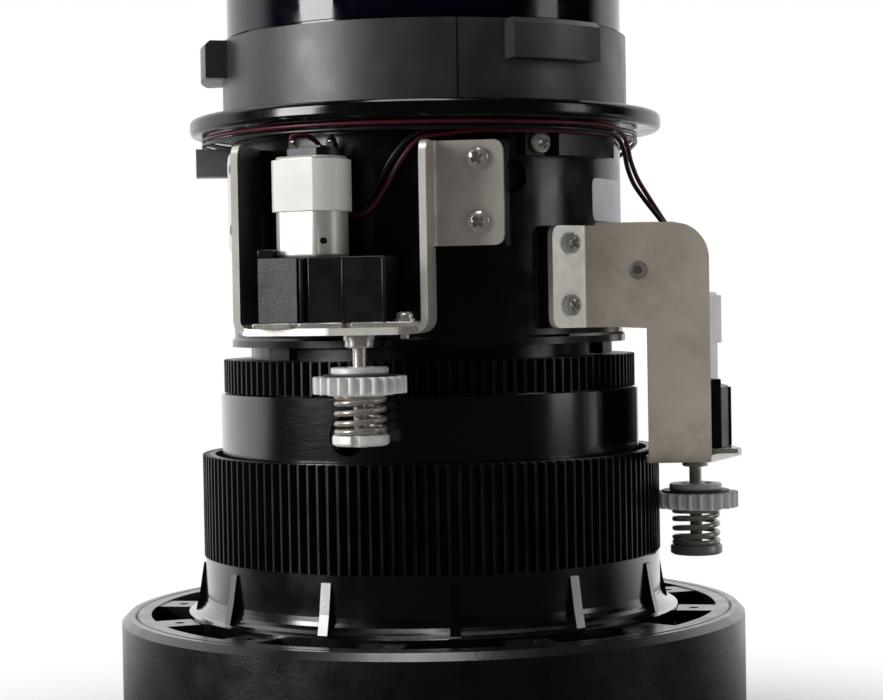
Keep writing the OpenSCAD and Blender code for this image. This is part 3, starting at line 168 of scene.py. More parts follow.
def machined(name, color, roughness, stretch=(1, 1, 40), scale=260, height=0.004, metallic=1.0, **more):
    """Turned or rolled metal, with its lines across the stretched direction."""
    s = Surface(name, color, roughness, metallic, **more)
    s.vary_color(s.noise(60, 5), tuple(min(1, c * 1.18) for c in color))
    s.vary_roughness(s.noise(scale, 4, stretch), 0.07)
    s.bump(s.noise(scale, 3, stretch), height)
    return s


def speckled(s, scale, color, low, high):
    """Small pale dust specks."""
    node = s.tree.nodes.new("ShaderNodeTexVoronoi")
    set_input(node, "Scale", scale)
    s.link(s.place, node.inputs["Vector"])
    return s.vary_color(node.outputs["Distance"], color, low, high)


def stained(s, color):
    """Faint handling stains on bare sheet."""
    return s.vary_color(s.noise(38, 7, rough=0.7), color, 0.48, 0.74)


SURFACES = {
    "hood_paint": speckled(moulded("hood_paint", (0.0012, 0.0012, 0.0014), 0.34, 1300, 0.05,
                                    IOR=1.6, Coat_Weight=0.6, Coat_Roughness=0.24), 260,
                           (0.05, 0.05, 0.05), 0.03, 0.015),
    "cone_anodised": moulded("cone_anodised", (0.0014, 0.0014, 0.0016), 0.2, 1900, 0.01,
                             IOR=1.6, Coat_Weight=1.0, Coat_Roughness=0.14),
    "gear_black": moulded("gear_black", (0.0016, 0.0016, 0.0018), 0.36, 2500, 0.008),
    "sleeve_anodised": machined("sleeve_anodised", (0.0014, 0.0014, 0.0016), 0.18, metallic=0.0,
                                IOR=1.6, Coat_Weight=1.0, Coat_Roughness=0.12),
    "barrel_paint": moulded("barrel_paint", (0.0024, 0.0024, 0.003), 0.22, 2600, 0.006),
    "flange_paint": moulded("flange_paint", (0.002, 0.002, 0.0024), 0.16, 2600, 0.004),
    "rear_gloss": moulded("rear_gloss", (0.001, 0.0014, 0.004), 0.08, 900, 0.002, 1.2),
    "band_anodised": moulded("band_anodised", (0.022, 0.019, 0.0175), 0.42, 2200, 0.01,
                             Coat_Weight=0.5, Coat_Roughness=0.4),
    "tube_metal": machined("tube_metal", (0.6, 0.61, 0.63), 0.3),
    "pin_brass": machined("pin_brass", (0.75, 0.55, 0.25), 0.25),
    "bracket_steel": stained(machined("bracket_steel", (0.4, 0.365, 0.325), 0.36, (1, 1, 8), 120,
                                      0.002, 0.3), (0.3, 0.26, 0.22)),
    "bracket_steel_brown": stained(machined("bracket_steel_brown", (0.47, 0.41, 0.34), 0.4,
                                            (1, 1, 8), 120, 0.002, 0.3), (0.3, 0.245, 0.185)),
    # painted shade: a darker copy of the bracket steel, for the left arm's inside
    "shaded_steel": machined("shaded_steel", (0.07, 0.066, 0.06), 0.4, (1, 1, 8), 120, 0.002, 0.3),
    # bare sheared edges, and also a painted highlight on the slanted flange's broad face
    "sheared_edge_and_highlight_steel": machined("sheared_edge_and_highlight_steel", (0.66, 0.63, 0.58), 0.34, (1, 1, 1), 400, 0.004, 0.4),
    "screw_steel": machined("screw_steel", (0.6, 0.58, 0.54), 0.24, (1, 1, 1), 500, 0.002, 0.7),
    "drive_steel": machined("drive_steel", (0.56, 0.53, 0.48), 0.26, (1, 1, 1), 500, 0.002, 0.7),
    "spring_steel": machined("spring_steel", (0.44, 0.41, 0.36), 0.3, (1, 1, 1), 700, 0.002, 0.7),
    "gearbox_black": moulded("gearbox_black", (0.003, 0.003, 0.0034), 0.34, 2400, 0.012),
    # paler, rougher and speckled, for the gearbox's slanted panel
    "gearbox_slant_pale": speckled(moulded("gearbox_slant_pale", (0.028, 0.028, 0.03), 0.55, 1500, 0.05), 1800,
                             (0.11, 0.11, 0.11), 0.35, 0.1),
    "lug_grey": moulded("lug_grey", (0.085, 0.085, 0.09), 0.42, 2000, 0.01),
    "moulded_black": moulded("moulded_black", (0.003, 0.003, 0.003), 0.36, 2200, 0.012),
    "motor_can": machined("motor_can", (0.5, 0.49, 0.45), 0.34, (1, 1, 1), 900, 0.01, 0.45),
    "band_white": moulded("band_white", (0.66, 0.65, 0.62), 0.42, 900, 0.004, 0.93),
    "pinion_white": moulded("pinion_white", (0.66, 0.68, 0.66), 0.38, 1600, 0.006, 0.86),
    "disc_pale": machined("disc_pale", (0.66, 0.65, 0.63), 0.45, (1, 1, 1), 400, 0.004, 0.25),
    "disc_grey": machined("disc_grey", (0.24, 0.24, 0.24), 0.36, (1, 1, 1), 400, 0.004, 0.5),
    "rubber_dark": moulded("rubber_dark", (0.03, 0.03, 0.032), 0.45, 1800, 0.01),
    "terminal_tin": machined("terminal_tin", (0.75, 0.7, 0.6), 0.3),
    "lead_red": moulded("lead_red", (0.075, 0.002, 0.011), 0.4, 1800, 0.005, 0.7),
    "lead_black": moulded("lead_black", (0.004, 0.004, 0.004), 0.32, 1800, 0.005),
    "connector_white": moulded("connector_white", (0.7, 0.69, 0.64), 0.4, 1500, 0.006, 0.9),
    "label_silver": moulded("label_silver", (0.8, 0.81, 0.84), 0.45, 1500, 0.003, 0.85),
}


def make_glass():
    glass = Surface("optical_glass", (0.75, 0.82, 0.9), 0.02, 0.0, IOR=1.52,
                    Transmission_Weight=1.0)
    glass.vary_roughness(glass.noise(40, 4), 0.01)
    return glass


SURFACES["optical_glass"] = make_glass()

NODE_SURFACES = {
    "mounting_flange": "flange_paint",
    "locating_lug": "lug_grey",
}
SLOT_SURFACES = {
    "gear_metal": "gear_black",
}


def dress_cad_nodes():
    slots = {s["node"]: s["material_slot"] for s in frame["record"]["subparts"]}
    for name, node in frame["nodes"].items():
        slot = slots[name]
        look = NODE_SURFACES.get(name, SLOT_SURFACES.get(slot, slot))
        node.data.materials.clear()
        node.data.materials.append(SURFACES[look].material)


dress_cad_nodes()


# Mesh building: sizes are in millimetres until a piece is made

FULL = 2 * math.pi


def facing(degrees):
    """A frame whose -Y points outwards at that angle round the axis, positive towards +X."""
    return Matrix.Rotation(degrees * DEG, 4, "Z")


def moved(x, y, z):
    return Matrix.Translation((x, y, z))


def arc(cx, cy, radius, start, end, steps):
    return [(cx + radius * math.cos((start + (end - start) * i / steps) * DEG),
             cy + radius * math.sin((start + (end - start) * i / steps) * DEG))
            for i in range(steps + 1)]


def filleted(points, radius, steps=6):
    """An open path with each inner corner rounded."""
    out = [Vector(points[0])]
    for before, corner, after in zip(points, points[1:], points[2:]):
        before, corner, after = Vector(before), Vector(corner), Vector(after)
        to_before = (before - corner).normalized()
        to_after = (after - corner).normalized()
        half = to_before.angle(to_after) / 2
        reach = radius / math.tan(half)
        centre = corner + (to_before + to_after).normalized() * radius / math.sin(half)
        start = corner + to_before * reach - centre
        end = corner + to_after * reach - centre
        for i in range(steps + 1):
            t = i / steps
            out.append(centre + start.slerp(end, t).normalized() * radius)
    out.append(Vector(points[-1]))
    return out


def resampled(path, step):
    """The same path with no stretch longer than step."""
    out = [path[0]]
    for a, b in zip(path, path[1:]):
        count = max(1, math.ceil((b - a).length / step))
        out += [a.lerp(b, i / count) for i in range(1, count + 1)]
    return out


class Shape:
    """Closed forms gathered into one mesh, each placed by the frame it is drawn in."""

    def __init__(self, place=Matrix()):
        self.place = place
        self.verts = []
        self.faces = []

    def add(self, verts, faces, place=Matrix()):
        base = len(self.verts)
        full = self.place @ place
        self.verts += [full @ Vector(v) for v in verts]
        self.faces += [[base + i for i in face] for face in faces]
        return self

    def prism(self, outline, z0, z1, place=Matrix()):
        n = len(outline)
        verts = [(x, y, z0) for x, y in outline] + [(x, y, z1) for x, y in outline]
        faces = [[i, (i + 1) % n, n + (i + 1) % n, n + i] for i in range(n)]
        return self.add(verts, faces + [list(range(n))[::-1], list(range(n, 2 * n))], place)

    def box(self, low, high, place=Matrix()):
        return self.prism([(low[0], low[1]), (high[0], low[1]), (high[0], high[1]),
                           (low[0], high[1])], low[2], high[2], place)

    def lathe(self, profile, steps=64, place=Matrix()):
        """Turns a closed profile of (radius, height) round Z."""
        n = len(profile)
        verts = [(r * math.cos(FULL * k / steps), r * math.sin(FULL * k / steps), z)
                 for k in range(steps) for r, z in profile]
        faces = [[k * n + i, ((k + 1) % steps) * n + i, ((k + 1) % steps) * n + (i + 1) % n,
                  k * n + (i + 1) % n] for k in range(steps) for i in range(n)]
        return self.add(verts, faces, place)

    def tube(self, points, radius, sides=12, place=Matrix()):
        points = [Vector(p) for p in points]
        count = len(points)
        tangents = []
        for i in range(count):
            a = points[max(i - 1, 0)]
            b = points[min(i + 1, count - 1)]
            tangents.append((b - a).normalized())
        side = tangents[0].orthogonal().normalized()
        verts = []
        for p, t in zip(points, tangents):
            side = (side - side.dot(t) * t).normalized()
            other = t.cross(side)
            verts += [p + radius * (math.cos(FULL * k / sides) * side
                                    + math.sin(FULL * k / sides) * other) for k in range(sides)]
        faces = [[i * sides + k, i * sides + (k + 1) % sides, (i + 1) * sides + (k + 1) % sides,
                  (i + 1) * sides + k] for i in range(count - 1) for k in range(sides)]
        caps = [list(range(sides))[::-1], list(range((count - 1) * sides, count * sides))]
        return self.add(verts, faces + caps, place)

    def sheet(self, path, thickness, limits, place=Matrix()):
        """A bent strip. Its middle line lies in the XZ plane, and limits(x, z, share) gives its
        lowest and highest Y there."""
        verts = []
        count = len(path)
        for i, p in enumerate(path):
            run = (path[min(i + 1, count - 1)] - path[max(i - 1, 0)]).normalized()
            out = Vector((-run.y, run.x)) * thickness / 2
            low, high = limits(p.x, p.y, i / (count - 1))
            verts += [(p.x + out.x, low, p.y + out.y), (p.x + out.x, high, p.y + out.y),
                      (p.x - out.x, high, p.y - out.y), (p.x - out.x, low, p.y - out.y)]
        faces = [[4 * i + k, 4 * i + (k + 1) % 4, 4 * i + 4 + (k + 1) % 4, 4 * i + 4 + k]
                 for i in range(count - 1) for k in range(4)]
        last = 4 * (count - 1)
        faces += [[3, 2, 1, 0], [last, last + 1, last + 2, last + 3]]
        return self.add(verts, faces, place)

    def mesh(self, name, scale=1.0):
        mesh = bpy.data.meshes.new(name)
        work = bmesh.new()
        verts = [work.verts.new(v * scale) for v in self.verts]
        for face in self.faces:
            corners = [verts[i] for i in face]
            if not work.faces.get(corners):
                work.faces.new(corners)
        bmesh.ops.remove_doubles(work, verts=work.verts, dist=0.001 * scale)
        bmesh.ops.dissolve_degenerate(work, edges=work.edges, dist=0.001 * scale)
        bmesh.ops.recalc_face_normals(work, faces=work.faces)
        work.to_mesh(mesh)
        work.free()
        return mesh

    def combine(self, other, operation):
        """Joins another shape to this one, or cuts it out."""
        collection = bpy.context.scene.collection
        pair = [bpy.data.objects.new("part", shape.mesh("part")) for shape in (self, other)]
        for part in pair:
            collection.objects.link(part)
        step = pair[0].modifiers.new("step", "BOOLEAN")
        step.operation = operation
        step.solver = "EXACT"
        step.object = pair[1]
        result = pair[0].evaluated_get(bpy.context.evaluated_depsgraph_get()).to_mesh()
        self.verts = [v.co.copy() for v in result.vertices]
        self.faces = [list(p.vertices) for p in result.polygons]
        for part in pair:
            bpy.data.objects.remove(part)
        return self

    def piece(self, name, look, body, slot, nodes=(), edge_mm=0.0, angle=32, segments=2):
        mesh = self.mesh(name, MM)
        mesh.polygons.foreach_set("use_smooth", [True] * len(mesh.polygons))
        mesh.set_sharp_from_angle(angle=angle * DEG)
        mesh.materials.append(SURFACES[look].material)
        piece = bpy.data.objects.new(name, mesh)
        bpy.context.scene.collection.objects.link(piece)
        if edge_mm:
            bevel = piece.modifiers.new("rounded_edges", "BEVEL")
            bevel.width = edge_mm * MM
            bevel.segments = segments
            bevel.limit_method = "ANGLE"
            bevel.angle_limit = angle * DEG
        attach(piece, body)
        if nodes:
            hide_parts(*nodes)
        return piece


def repaint(piece, look, place, wanted):
    """Gives another surface to the faces that wanted(normal, centre) picks in the place's frame."""
    piece.data.materials.append(SURFACES[look].material)
    back = place.inverted()
    for face in piece.data.polygons:
        if wanted(back.to_3x3() @ face.normal, back @ (face.center / MM)):
            face.material_index = len(piece.data.materials) - 1


HEAD_RING_POWER = 1.25
HEAD_DROP_SHARE = 0.45
HEAD_DROP_POWER = 3.2
RECESS_ARM_SHARE = 0.17
RECESS_REACH_SHARE = 0.62
RECESS_DEPTH_SHARE = 0.6
RECESS_SIDE_SHARE = 0.06
RECESS_FLAT_SHARE = 0.8
RECESS_END_SHARE = 0.25


def screw_head(shape, radius, height, place, rings=12, around=48):
    """A pan head with a cross recess, its underside at the place's origin and its axis along Z."""
    verts = [(0, 0, height - recess_depth(0, 0, radius))]
    outline = []
    for i in range(1, rings + 1):
        r = radius * (1 - (1 - i / rings) ** HEAD_RING_POWER)
        for k in range(around):
            x, y = r * math.cos(FULL * k / around), r * math.sin(FULL * k / around)
            drop = height * HEAD_DROP_SHARE * (r / radius) ** HEAD_DROP_POWER
            outline.append((x, y, height - drop - recess_depth(x, y, radius)))
    verts += outline
    verts += [(radius * math.cos(FULL * k / around), radius * math.sin(FULL * k / around), 0)
              for k in range(around)]
    faces = [[0, 1 + k, 1 + (k + 1) % around] for k in range(around)]
    for i in range(rings):
        a = 1 + i * around
        b = a + around
        faces += [[a + k, b + k, b + (k + 1) % around, a + (k + 1) % around] for k in range(around)]
    last = 1 + rings * around
    faces.append([last + k for k in range(around)][::-1])
    return shape.add(verts, faces, place)


def recess_depth(x, y, radius):
    """Depth of the cross recess at a point of a screw's head."""
    arm = radius * RECESS_ARM_SHARE
    reach = radius * RECESS_REACH_SHARE
    depth = 0
    for a, b in ((x, y), (y, x)):
        side = 1 - max(0, abs(a) - arm) / (radius * RECESS_SIDE_SHARE)
        end = 1 - max(0, abs(b) - reach * RECESS_FLAT_SHARE) / (reach * RECESS_END_SHARE)
        depth = max(depth, min(side, end))
    return depth * radius * RECESS_DEPTH_SHARE


# Drives: each is drawn in its own frame, with u to the right and -Y outwards

SHEET = 1.6
BEND = 1.8
SHEET_EDGE = 0.22
ARM_STEP = 0.6
FLANGE_STEP = 0.35
SWAP = Matrix(((1, 0, 0, 0), (0, 0, 1, 0), (0, 1, 0, 0), (0, 0, 0, 1)))
OUTWARDS = Matrix.Rotation(math.pi / 2, 4, "X")
CORE_R = 0.01
SEAM = 0.01
OUTPUT_U = -5.4
PINION_H = 4.2
FLANGE_OUT = 50.1
FLANGE_H = 23.4
FLANGE_CORNER = 2.2
LEFT_FLANGE_A = -50
LEFT_FLANGE_OUT = 51.1
LEFT_FLANGE_HALF = 5.5
RIGHT_FLANGE_U = 26
RIGHT_ARM_SLOPE = 3
FLOOR_GAP = 0.6
SHEARED_FROM = 8
SHADED_TO = 2


def low_z(node):
    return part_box(node)[0][2] / MM


def high_z(node):
    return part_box(node)[1][2] / MM


class Drive:
    """Sizes and places of one gearmotor drive and its bracket. Those that end in _u lie to the
    right of the drive's middle, and those in _d are distances from the lens's axis."""

    def __init__(self, name, angle, left_u, right_u, arm_d, nose_d, tab_u, right_d, gearbox_d,
                 centre_d, flange_z, arm_round, inner_d, arm_in_d, plate_u):
        self.name = name
        self.frame = facing(angle)
        self.angle = angle
        self.left_u = left_u
        self.right_u = right_u
        self.arm_d = arm_d
        self.nose_d = nose_d
        self.tab_u = tab_u
        self.right_d = right_d
        self.gearbox_d = gearbox_d
        self.output_d = math.sqrt(centre_d ** 2 - OUTPUT_U ** 2)
        self.flange_z = flange_z
        self.arm_round = arm_round
        self.inner_d = inner_d
        self.arm_in_d = arm_in_d
        self.plate_u = plate_u
        self.floor_z = low_z(name + "_bracket")
        self.top_z = high_z(name + "_bracket")
        self.body = name + "_drive"
        self.disc_z = low_z(name + "_clutch_disc")
        self.spring_z = low_z(name + "_clutch_spring")
        self.pinion_top_z = high_z(name + "_pinion")
        self.pinion_z = self.pinion_top_z - PINION_H
        self.axis = self.frame @ moved(OUTPUT_U, -self.output_d, 0)

    def shape(self):
        return Shape(self.frame)

    def turned(self, profile, z, steps):
        """A round form on the output's axis, its profile measured from height z."""
        return Shape(self.axis).lathe(profile, steps, moved(0, 0, z))


ZOOM = Drive("zoom", angle=-9.5, left_u=33.6, right_u=10.3, arm_d=60, nose_d=70, tab_u=10,
             right_d=68.5, gearbox_d=51.3, centre_d=59.2, flange_z=132.15, arm_round=4,
             inner_d=48.5, arm_in_d=37.6, plate_u=8.2)
FOCUS = Drive("focus", angle=90, left_u=36, right_u=10.3, arm_d=64.9, nose_d=75.3, tab_u=11,
              right_d=73.5, gearbox_d=57, centre_d=64.8, flange_z=113.25, arm_round=8.5,
              inner_d=57, arm_in_d=50.5, plate_u=2.7)
DRIVES = (ZOOM, FOCUS)


# Brackets: one folded sheet each

def corner_drop(z, top_z, radius):
    """How far a rounded top corner has drawn the edge beside it in at this height."""
    rise = max(0, z - (top_z - radius))
    return radius - math.sqrt(max(0, radius ** 2 - rise ** 2))


def bracket(drive):
    """The floor and both arms as one strip, and a flange bent off each arm."""
    half = SHEET / 2
    left, right = half - drive.left_u, drive.right_u - half
    floor = drive.floor_z + half
    top = drive.top_z
    path = resampled(filleted([(left, top), (left, floor), (right, floor), (right, top)],
                              BEND + half), ARM_STEP)
    left_bend = (math.sin(-LEFT_FLANGE_A * DEG) * (LEFT_FLANGE_OUT - half) + left) / math.cos(
        LEFT_FLANGE_A * DEG)
    left_in = left_bend * math.sin(-LEFT_FLANGE_A * DEG) + (LEFT_FLANGE_OUT - half) * math.cos(
        LEFT_FLANGE_A * DEG)

    def limits(u, z, share):
        nose = min(drive.arm_d + (u - SHEET - left) * (drive.nose_d - drive.arm_d)
                   / (drive.left_u - SHEET - drive.tab_u), drive.nose_d)
        if u > -drive.tab_u:
            t = (u + drive.tab_u) / (right + drive.tab_u)
            nose = drive.nose_d + (drive.right_d - drive.nose_d) * t
            nose = min(nose, drive.arm_d + max(0, right - SHEET - u) * RIGHT_ARM_SLOPE)
        nose = max(nose, drive.arm_d)
        out = drive.arm_d - corner_drop(z, top, drive.arm_round)
        if z < drive.floor_z + SHEET:
            out = nose
        inner = max(drive.arm_in_d,
                    math.sqrt(max(0, (drive.inner_d + FLOOR_GAP) ** 2 - u ** 2)))
        if z > drive.floor_z + SHEET:
            side_in = left_in if u < 0 else FLANGE_OUT - half
            inner = side_in + BEND + half if z > drive.flange_z else drive.arm_in_d
            if u > 0 and z <= drive.flange_z:
                inner = drive.inner_d
        return -out, -inner

    steel = drive.shape().sheet(path, SHEET, limits)
    flange_low, flange_high = drive.flange_z, drive.flange_z + FLANGE_H

    def rounded_end(length):
        def flange_limits(u, y, share):
            left_over = (1 - share) * length
            drop = corner_drop(-left_over, 0, FLANGE_CORNER)
            return flange_low + drop, flange_high - drop
        return flange_limits

    inner_face = -(FLANGE_OUT - half)
    start = FLANGE_OUT - half + 2 * (BEND + half)
    right_path = [(right, -start), (right, inner_face), (RIGHT_FLANGE_U, inner_face)]
    length = start - FLANGE_OUT + RIGHT_FLANGE_U - right
    right_path = resampled(filleted(right_path, BEND + half), FLANGE_STEP)
    steel.combine(drive.shape().sheet(right_path, SHEET, rounded_end(length), SWAP), "UNION")

    turn = Matrix.Rotation(LEFT_FLANGE_A * DEG, 2)
    left_end = turn @ Vector((-LEFT_FLANGE_HALF, -(LEFT_FLANGE_OUT - half)))
    left_path = [(left, -left_in - 2 * (BEND + half)), (left, -left_in), tuple(left_end)]
    length = 2 * (BEND + half) + LEFT_FLANGE_HALF + left_bend
    left_path = resampled(filleted(left_path, BEND + half), FLANGE_STEP)
    steel.combine(drive.shape().sheet(left_path, SHEET, rounded_end(length), SWAP), "UNION")
    return steel


def bare_edges(piece, drive):
    """The sheared edges are brighter, the slanted flange is brighter as a painted highlight, and the
    left arm's inside is darker as painted shade.
    """
    repaint(piece, "sheared_edge_and_highlight_steel", drive.frame,
            lambda normal, centre: normal.y < -0.5 and centre.y < SHEARED_FROM - drive.arm_d)
    # Painted shade: the left arm's inside face is given the darker steel.
    repaint(piece, "shaded_steel", drive.frame,
            lambda normal, centre: normal.x > 0.9 and centre.x < SHADED_TO - drive.left_u)
    # Painted highlight: the slanted flange's broad face is given the paler sheared steel.
    tab = facing(LEFT_FLANGE_A).to_3x3() @ Vector((0, -1, 0))
    repaint(piece, "sheared_edge_and_highlight_steel", drive.frame, lambda normal, centre: normal.dot(tab) > 0.97)


EYELET_LIFT = 13
EYELET_D = 48.5
EYELET_HOLE_R = 1.5
EYELET_HOLE_SIDES = 32
EYELET = [(1.05, -SHEET), (1.6, -SHEET), (1.6, 0), (2.15, 0), (2.1, 0.25), (1.7, 0.4),
          (1.25, 0.3), (1.05, 0)]


def make_brackets():
    zoom = bracket(ZOOM)
    bare_edges(zoom.piece("zoom_bracket_sheet", "bracket_steel", "root", "bracket_steel",
                          ["zoom_bracket"], SHEET_EDGE), ZOOM)
    focus = bracket(FOCUS)
    place = FOCUS.frame @ moved(-FOCUS.left_u, -EYELET_D, FOCUS.flange_z + EYELET_LIFT)
    hole = Shape(place @ Matrix.Rotation(math.pi / 2, 4, "Y"))
    hole.prism(arc(0, 0, EYELET_HOLE_R, 0, 360, EYELET_HOLE_SIDES)[:-1], -SHEET, 2 * SHEET)
    focus.combine(hole, "DIFFERENCE")
    bare_edges(focus.piece("focus_bracket_sheet", "bracket_steel_brown", "root",
                           "bracket_steel", ["focus_bracket"], SHEET_EDGE), FOCUS)
    eyelet = Shape(place @ Matrix.Rotation(-math.pi / 2, 4, "Y")).lathe(EYELET, 40)
    eyelet.piece("focus_bracket_eyelet", "spring_steel", "root", "bracket_steel")


make_brackets()


# Label: a thin bare plate with rounded corners, bent round the barrel

LABEL_R = 47.7
LABEL_START_A = 54.7
LABEL_SPAN_A = 24
LABEL_CORNER = 1.5
LABEL_T = 0.2
LABEL_STEPS = 64


def make_label():
    low, high = low_z("bare_label"), high_z("bare_label")
    turns = [(LABEL_START_A + LABEL_SPAN_A * i / LABEL_STEPS) * DEG
             for i in range(LABEL_STEPS + 1)]
    path = [Vector((LABEL_R * math.sin(a), -LABEL_R * math.cos(a))) for a in turns]
    length = LABEL_R * LABEL_SPAN_A * DEG

    def limits(x, z, share):
        drop = corner_drop(-length * min(share, 1 - share), 0, LABEL_CORNER)
        return low + drop, high - drop

    label = Shape().sheet(path, LABEL_T, limits, SWAP)
    label.piece("label_plate", "label_silver", "root", "label_silver", ["bare_label"])


make_label()


# Screws with a cross recess

SCREW_HEAD_R = 2.4
SCREW_HEAD_H = 1.7
SHANK_R = 1.15
SHANK_L = 6
LONG_SHANK_L = 9.6
TURN_PER_MM = 37
FLANGE_SCREW_U = 20.4
FLANGE_SCREW_LIFTS = (5.2, 19.4)
CLAMP_SCREW_A = 32.1
CLAMP_SCREW_D = 49.2
CLAMP_SCREW_Z = 155.55
CLAMP_SCREW_TURN = 0.5
FLOOR_SCREW_U = 5.4
FLOOR_SCREW_OUT = 10.7
FLOOR_SCREW_R = 1.85
FLOOR_SCREW_H = 1.5
FLOOR_SHANK_R = 0.95
FLOOR_SHANK_L = 3.3
FLOOR_WASHER_H = 0.75
FLOOR_WASHER = [(1.05, 0), (2.3, 0), (2.3, 0.55), (1.7, FLOOR_WASHER_H), (1.05, FLOOR_WASHER_H)]
PLATE_T = 1.15


def pan_screw(shape, place, radius, height, shank_r, length):
    screw_head(shape, radius, height, place)
    shape.lathe([(CORE_R, -length), (shank_r, -length), (shank_r, SEAM), (CORE_R, SEAM)], 24,
                place)


def make_screws():
    heads = Shape()
    for drive in DRIVES:
        for lift in FLANGE_SCREW_LIFTS:
            z = drive.flange_z + lift
            right = drive.frame @ moved(FLANGE_SCREW_U, -FLANGE_OUT, z) @ OUTWARDS
            left = facing(drive.angle + LEFT_FLANGE_A) @ moved(0, -LEFT_FLANGE_OUT, z) @ OUTWARDS
            turn = Matrix.Rotation((z * TURN_PER_MM % 90) * DEG, 4, "Z")
            pan_screw(heads, right @ turn, SCREW_HEAD_R, SCREW_HEAD_H, SHANK_R, LONG_SHANK_L)
            pan_screw(heads, left @ turn, SCREW_HEAD_R, SCREW_HEAD_H, SHANK_R, SHANK_L)
    heads.piece("bracket_screw_set", "screw_steel", "root", "screw_steel", ["bracket_screws"])

    clamp = Shape(facing(CLAMP_SCREW_A) @ moved(0, -CLAMP_SCREW_D, CLAMP_SCREW_Z) @ OUTWARDS)
    pan_screw(clamp, Matrix.Rotation(CLAMP_SCREW_TURN, 4, "Z"), SCREW_HEAD_R, SCREW_HEAD_H,
              SHANK_R, SHANK_L)
    clamp.piece("clamp_screw_head", "screw_steel", "root", "screw_steel", ["clamp_screw"])

    floor = Shape()
    for drive in DRIVES:
        lift = PLATE_T if drive.plate_u > FLOOR_SCREW_U else 0
        place = drive.frame @ moved(FLOOR_SCREW_U, -drive.gearbox_d - FLOOR_SCREW_OUT,
                                    drive.floor_z + SHEET + lift)
        floor.lathe(FLOOR_WASHER, 32, place)
        pan_screw(floor, place @ moved(0, 0, FLOOR_WASHER_H), FLOOR_SCREW_R, FLOOR_SCREW_H,
                  FLOOR_SHANK_R, FLOOR_SHANK_L + lift)
    floor.piece("floor_screw_set", "screw_steel", "root", "screw_steel", ["floor_screws"])


make_screws()


# Gearmotors: a moulded case on a plate, and a can with its band, cap and tags

GEARBOX_U = (-27.2, 2.2)
GEARBOX_DEPTH = 14.6
GEARBOX_H = 14.4
SLANT_W = 9.6
SLANT_BACK = 3.2
SLANT_FRONT = 0.3
GROOVE_END = 12
GROOVE_BACK = 1.3
RIB_ROOT = 2
RIB_DROP = 0.3
# Each rib's left side, width and stand-off
RIBS = ((-17, 0.8, 0.5), (1.3, 0.9, 0.7), (-7.7, 0.5, 0.15))
EAR_W = 3.6
EAR_BACK = 8
EAR_H = 1.9
PAD_BACK = 2
PAD_FRONT = 6
PAD_RIM = 2
PAD_DEPTH = 1
PLATE_RIM = 0.5
NOTCH_PLACES = (-18.3, -6.6)
NOTCH_HALF = 1
MOTOR_U = -16.1
MOTOR_OUT = 4.8
MOTOR_TURN = 66.5
CAN_R = 8
CAN_FLAT_W = 12.4
CAN_H = 22.4
BAND_R = 8.85
BAND_FLAT_W = 14.1
BAND_LOW = 10.2
BAND_HIGH = 21.6
BORE_R = 8.03
BORE_FLAT_W = 12.46
BORE_LOW = 10
BORE_HIGH = 22.5
SUNK = 0.1
CAP_R = 6.4
CAP_FLAT_W = 10
CAP_SHIFT = (0.7, 0.9, 0)
CAP_H = 1.8
CAP_BLOCK = (2.2, 3)
CAP_BLOCK_H = 0.7
DIMPLE_LIFT = 3.6
DIMPLE_TURN = 30
DIMPLE_OUT = 7.95
DIMPLE = [(CORE_R, -0.1), (0.85, -0.1), (0.85, 0.03), (0.6, 0.06), (CORE_R, 0.06)]
TAG_U = 4.2
TAG_HALF_W = 0.8
TAG_HALF_T = 0.2
TAG_H = 3.4
SOLDER = [(CORE_R, 2.8), (0.75, 2.9), (0.9, 3.35), (0.6, 3.7), (CORE_R, 3.8)]
BUSHING = [(1.58, -2.9), (2.9, -2.9), (3.2, -2.6), (3.2, -1.3), (3.5, -1.2), (3.5, 0),
           (1.58, 0)]


def gearbox(drive):
    """The moulded reduction case, with its slanted left panel and its ribs."""
    low = drive.floor_z + SHEET + PLATE_T
    high = low + GEARBOX_H
    back, front = -drive.gearbox_d, -drive.gearbox_d - GEARBOX_DEPTH
    u0, u1 = GEARBOX_U
    outline = [(u0, back), (u0, front + SLANT_BACK), (u0 + SLANT_W, front + SLANT_FRONT),
               (u0 + SLANT_W, front + GROOVE_BACK), (u0 + GROOVE_END, front + GROOVE_BACK),
               (u0 + GROOVE_END, front), (u1, front), (u1, back)]
    case = drive.shape().prism(outline, low, high)
    for u, width, out in RIBS:
        case.box((u, front - out, low), (u + width, front + RIB_ROOT, high - RIB_DROP))
    case.box((u0, front + SLANT_BACK, high - SEAM), (u0 + EAR_W, front + EAR_BACK, high + EAR_H))
    case.box((u0 - SEAM, back - PAD_FRONT, low + PAD_RIM),
             (u0 + PAD_DEPTH, back - PAD_BACK, high - PAD_RIM))
    case = case.piece(drive.name + "_gearbox_case", "gearbox_black", "root", "gearbox_black",
                      [drive.name + "_gearbox"], 0.35)
    # The slanted left panel is given a paler, rougher, speckled surface.
    repaint(case, "gearbox_slant_pale", drive.frame, lambda normal, centre:
            normal.x < -0.2 and normal.y < -0.5 and centre.x < u0 + SLANT_W)

    rim = front - PLATE_RIM
    plate = drive.shape().box((u0 - PLATE_RIM, rim, drive.floor_z + SHEET),
                              (drive.plate_u, back, low))
    for u in NOTCH_PLACES:
        notch = drive.shape().box((u - NOTCH_HALF, rim - NOTCH_HALF, drive.floor_z),
                                  (u + NOTCH_HALF, rim + NOTCH_HALF, low + NOTCH_HALF))
        plate.combine(notch, "DIFFERENCE")
    plate.piece(drive.name + "_gearbox_base", "screw_steel", "root", "screw_steel",
                [drive.name + "_gearbox_plate"], 0.15)


def can_outline(radius, flat_w, steps=20):
    """A round can with two flats."""
    half_a = math.degrees(math.acos(flat_w / 2 / radius))
    right = arc(0, 0, radius, half_a, 180 - half_a, steps)
    return right + [(-x, -y) for x, y in right]


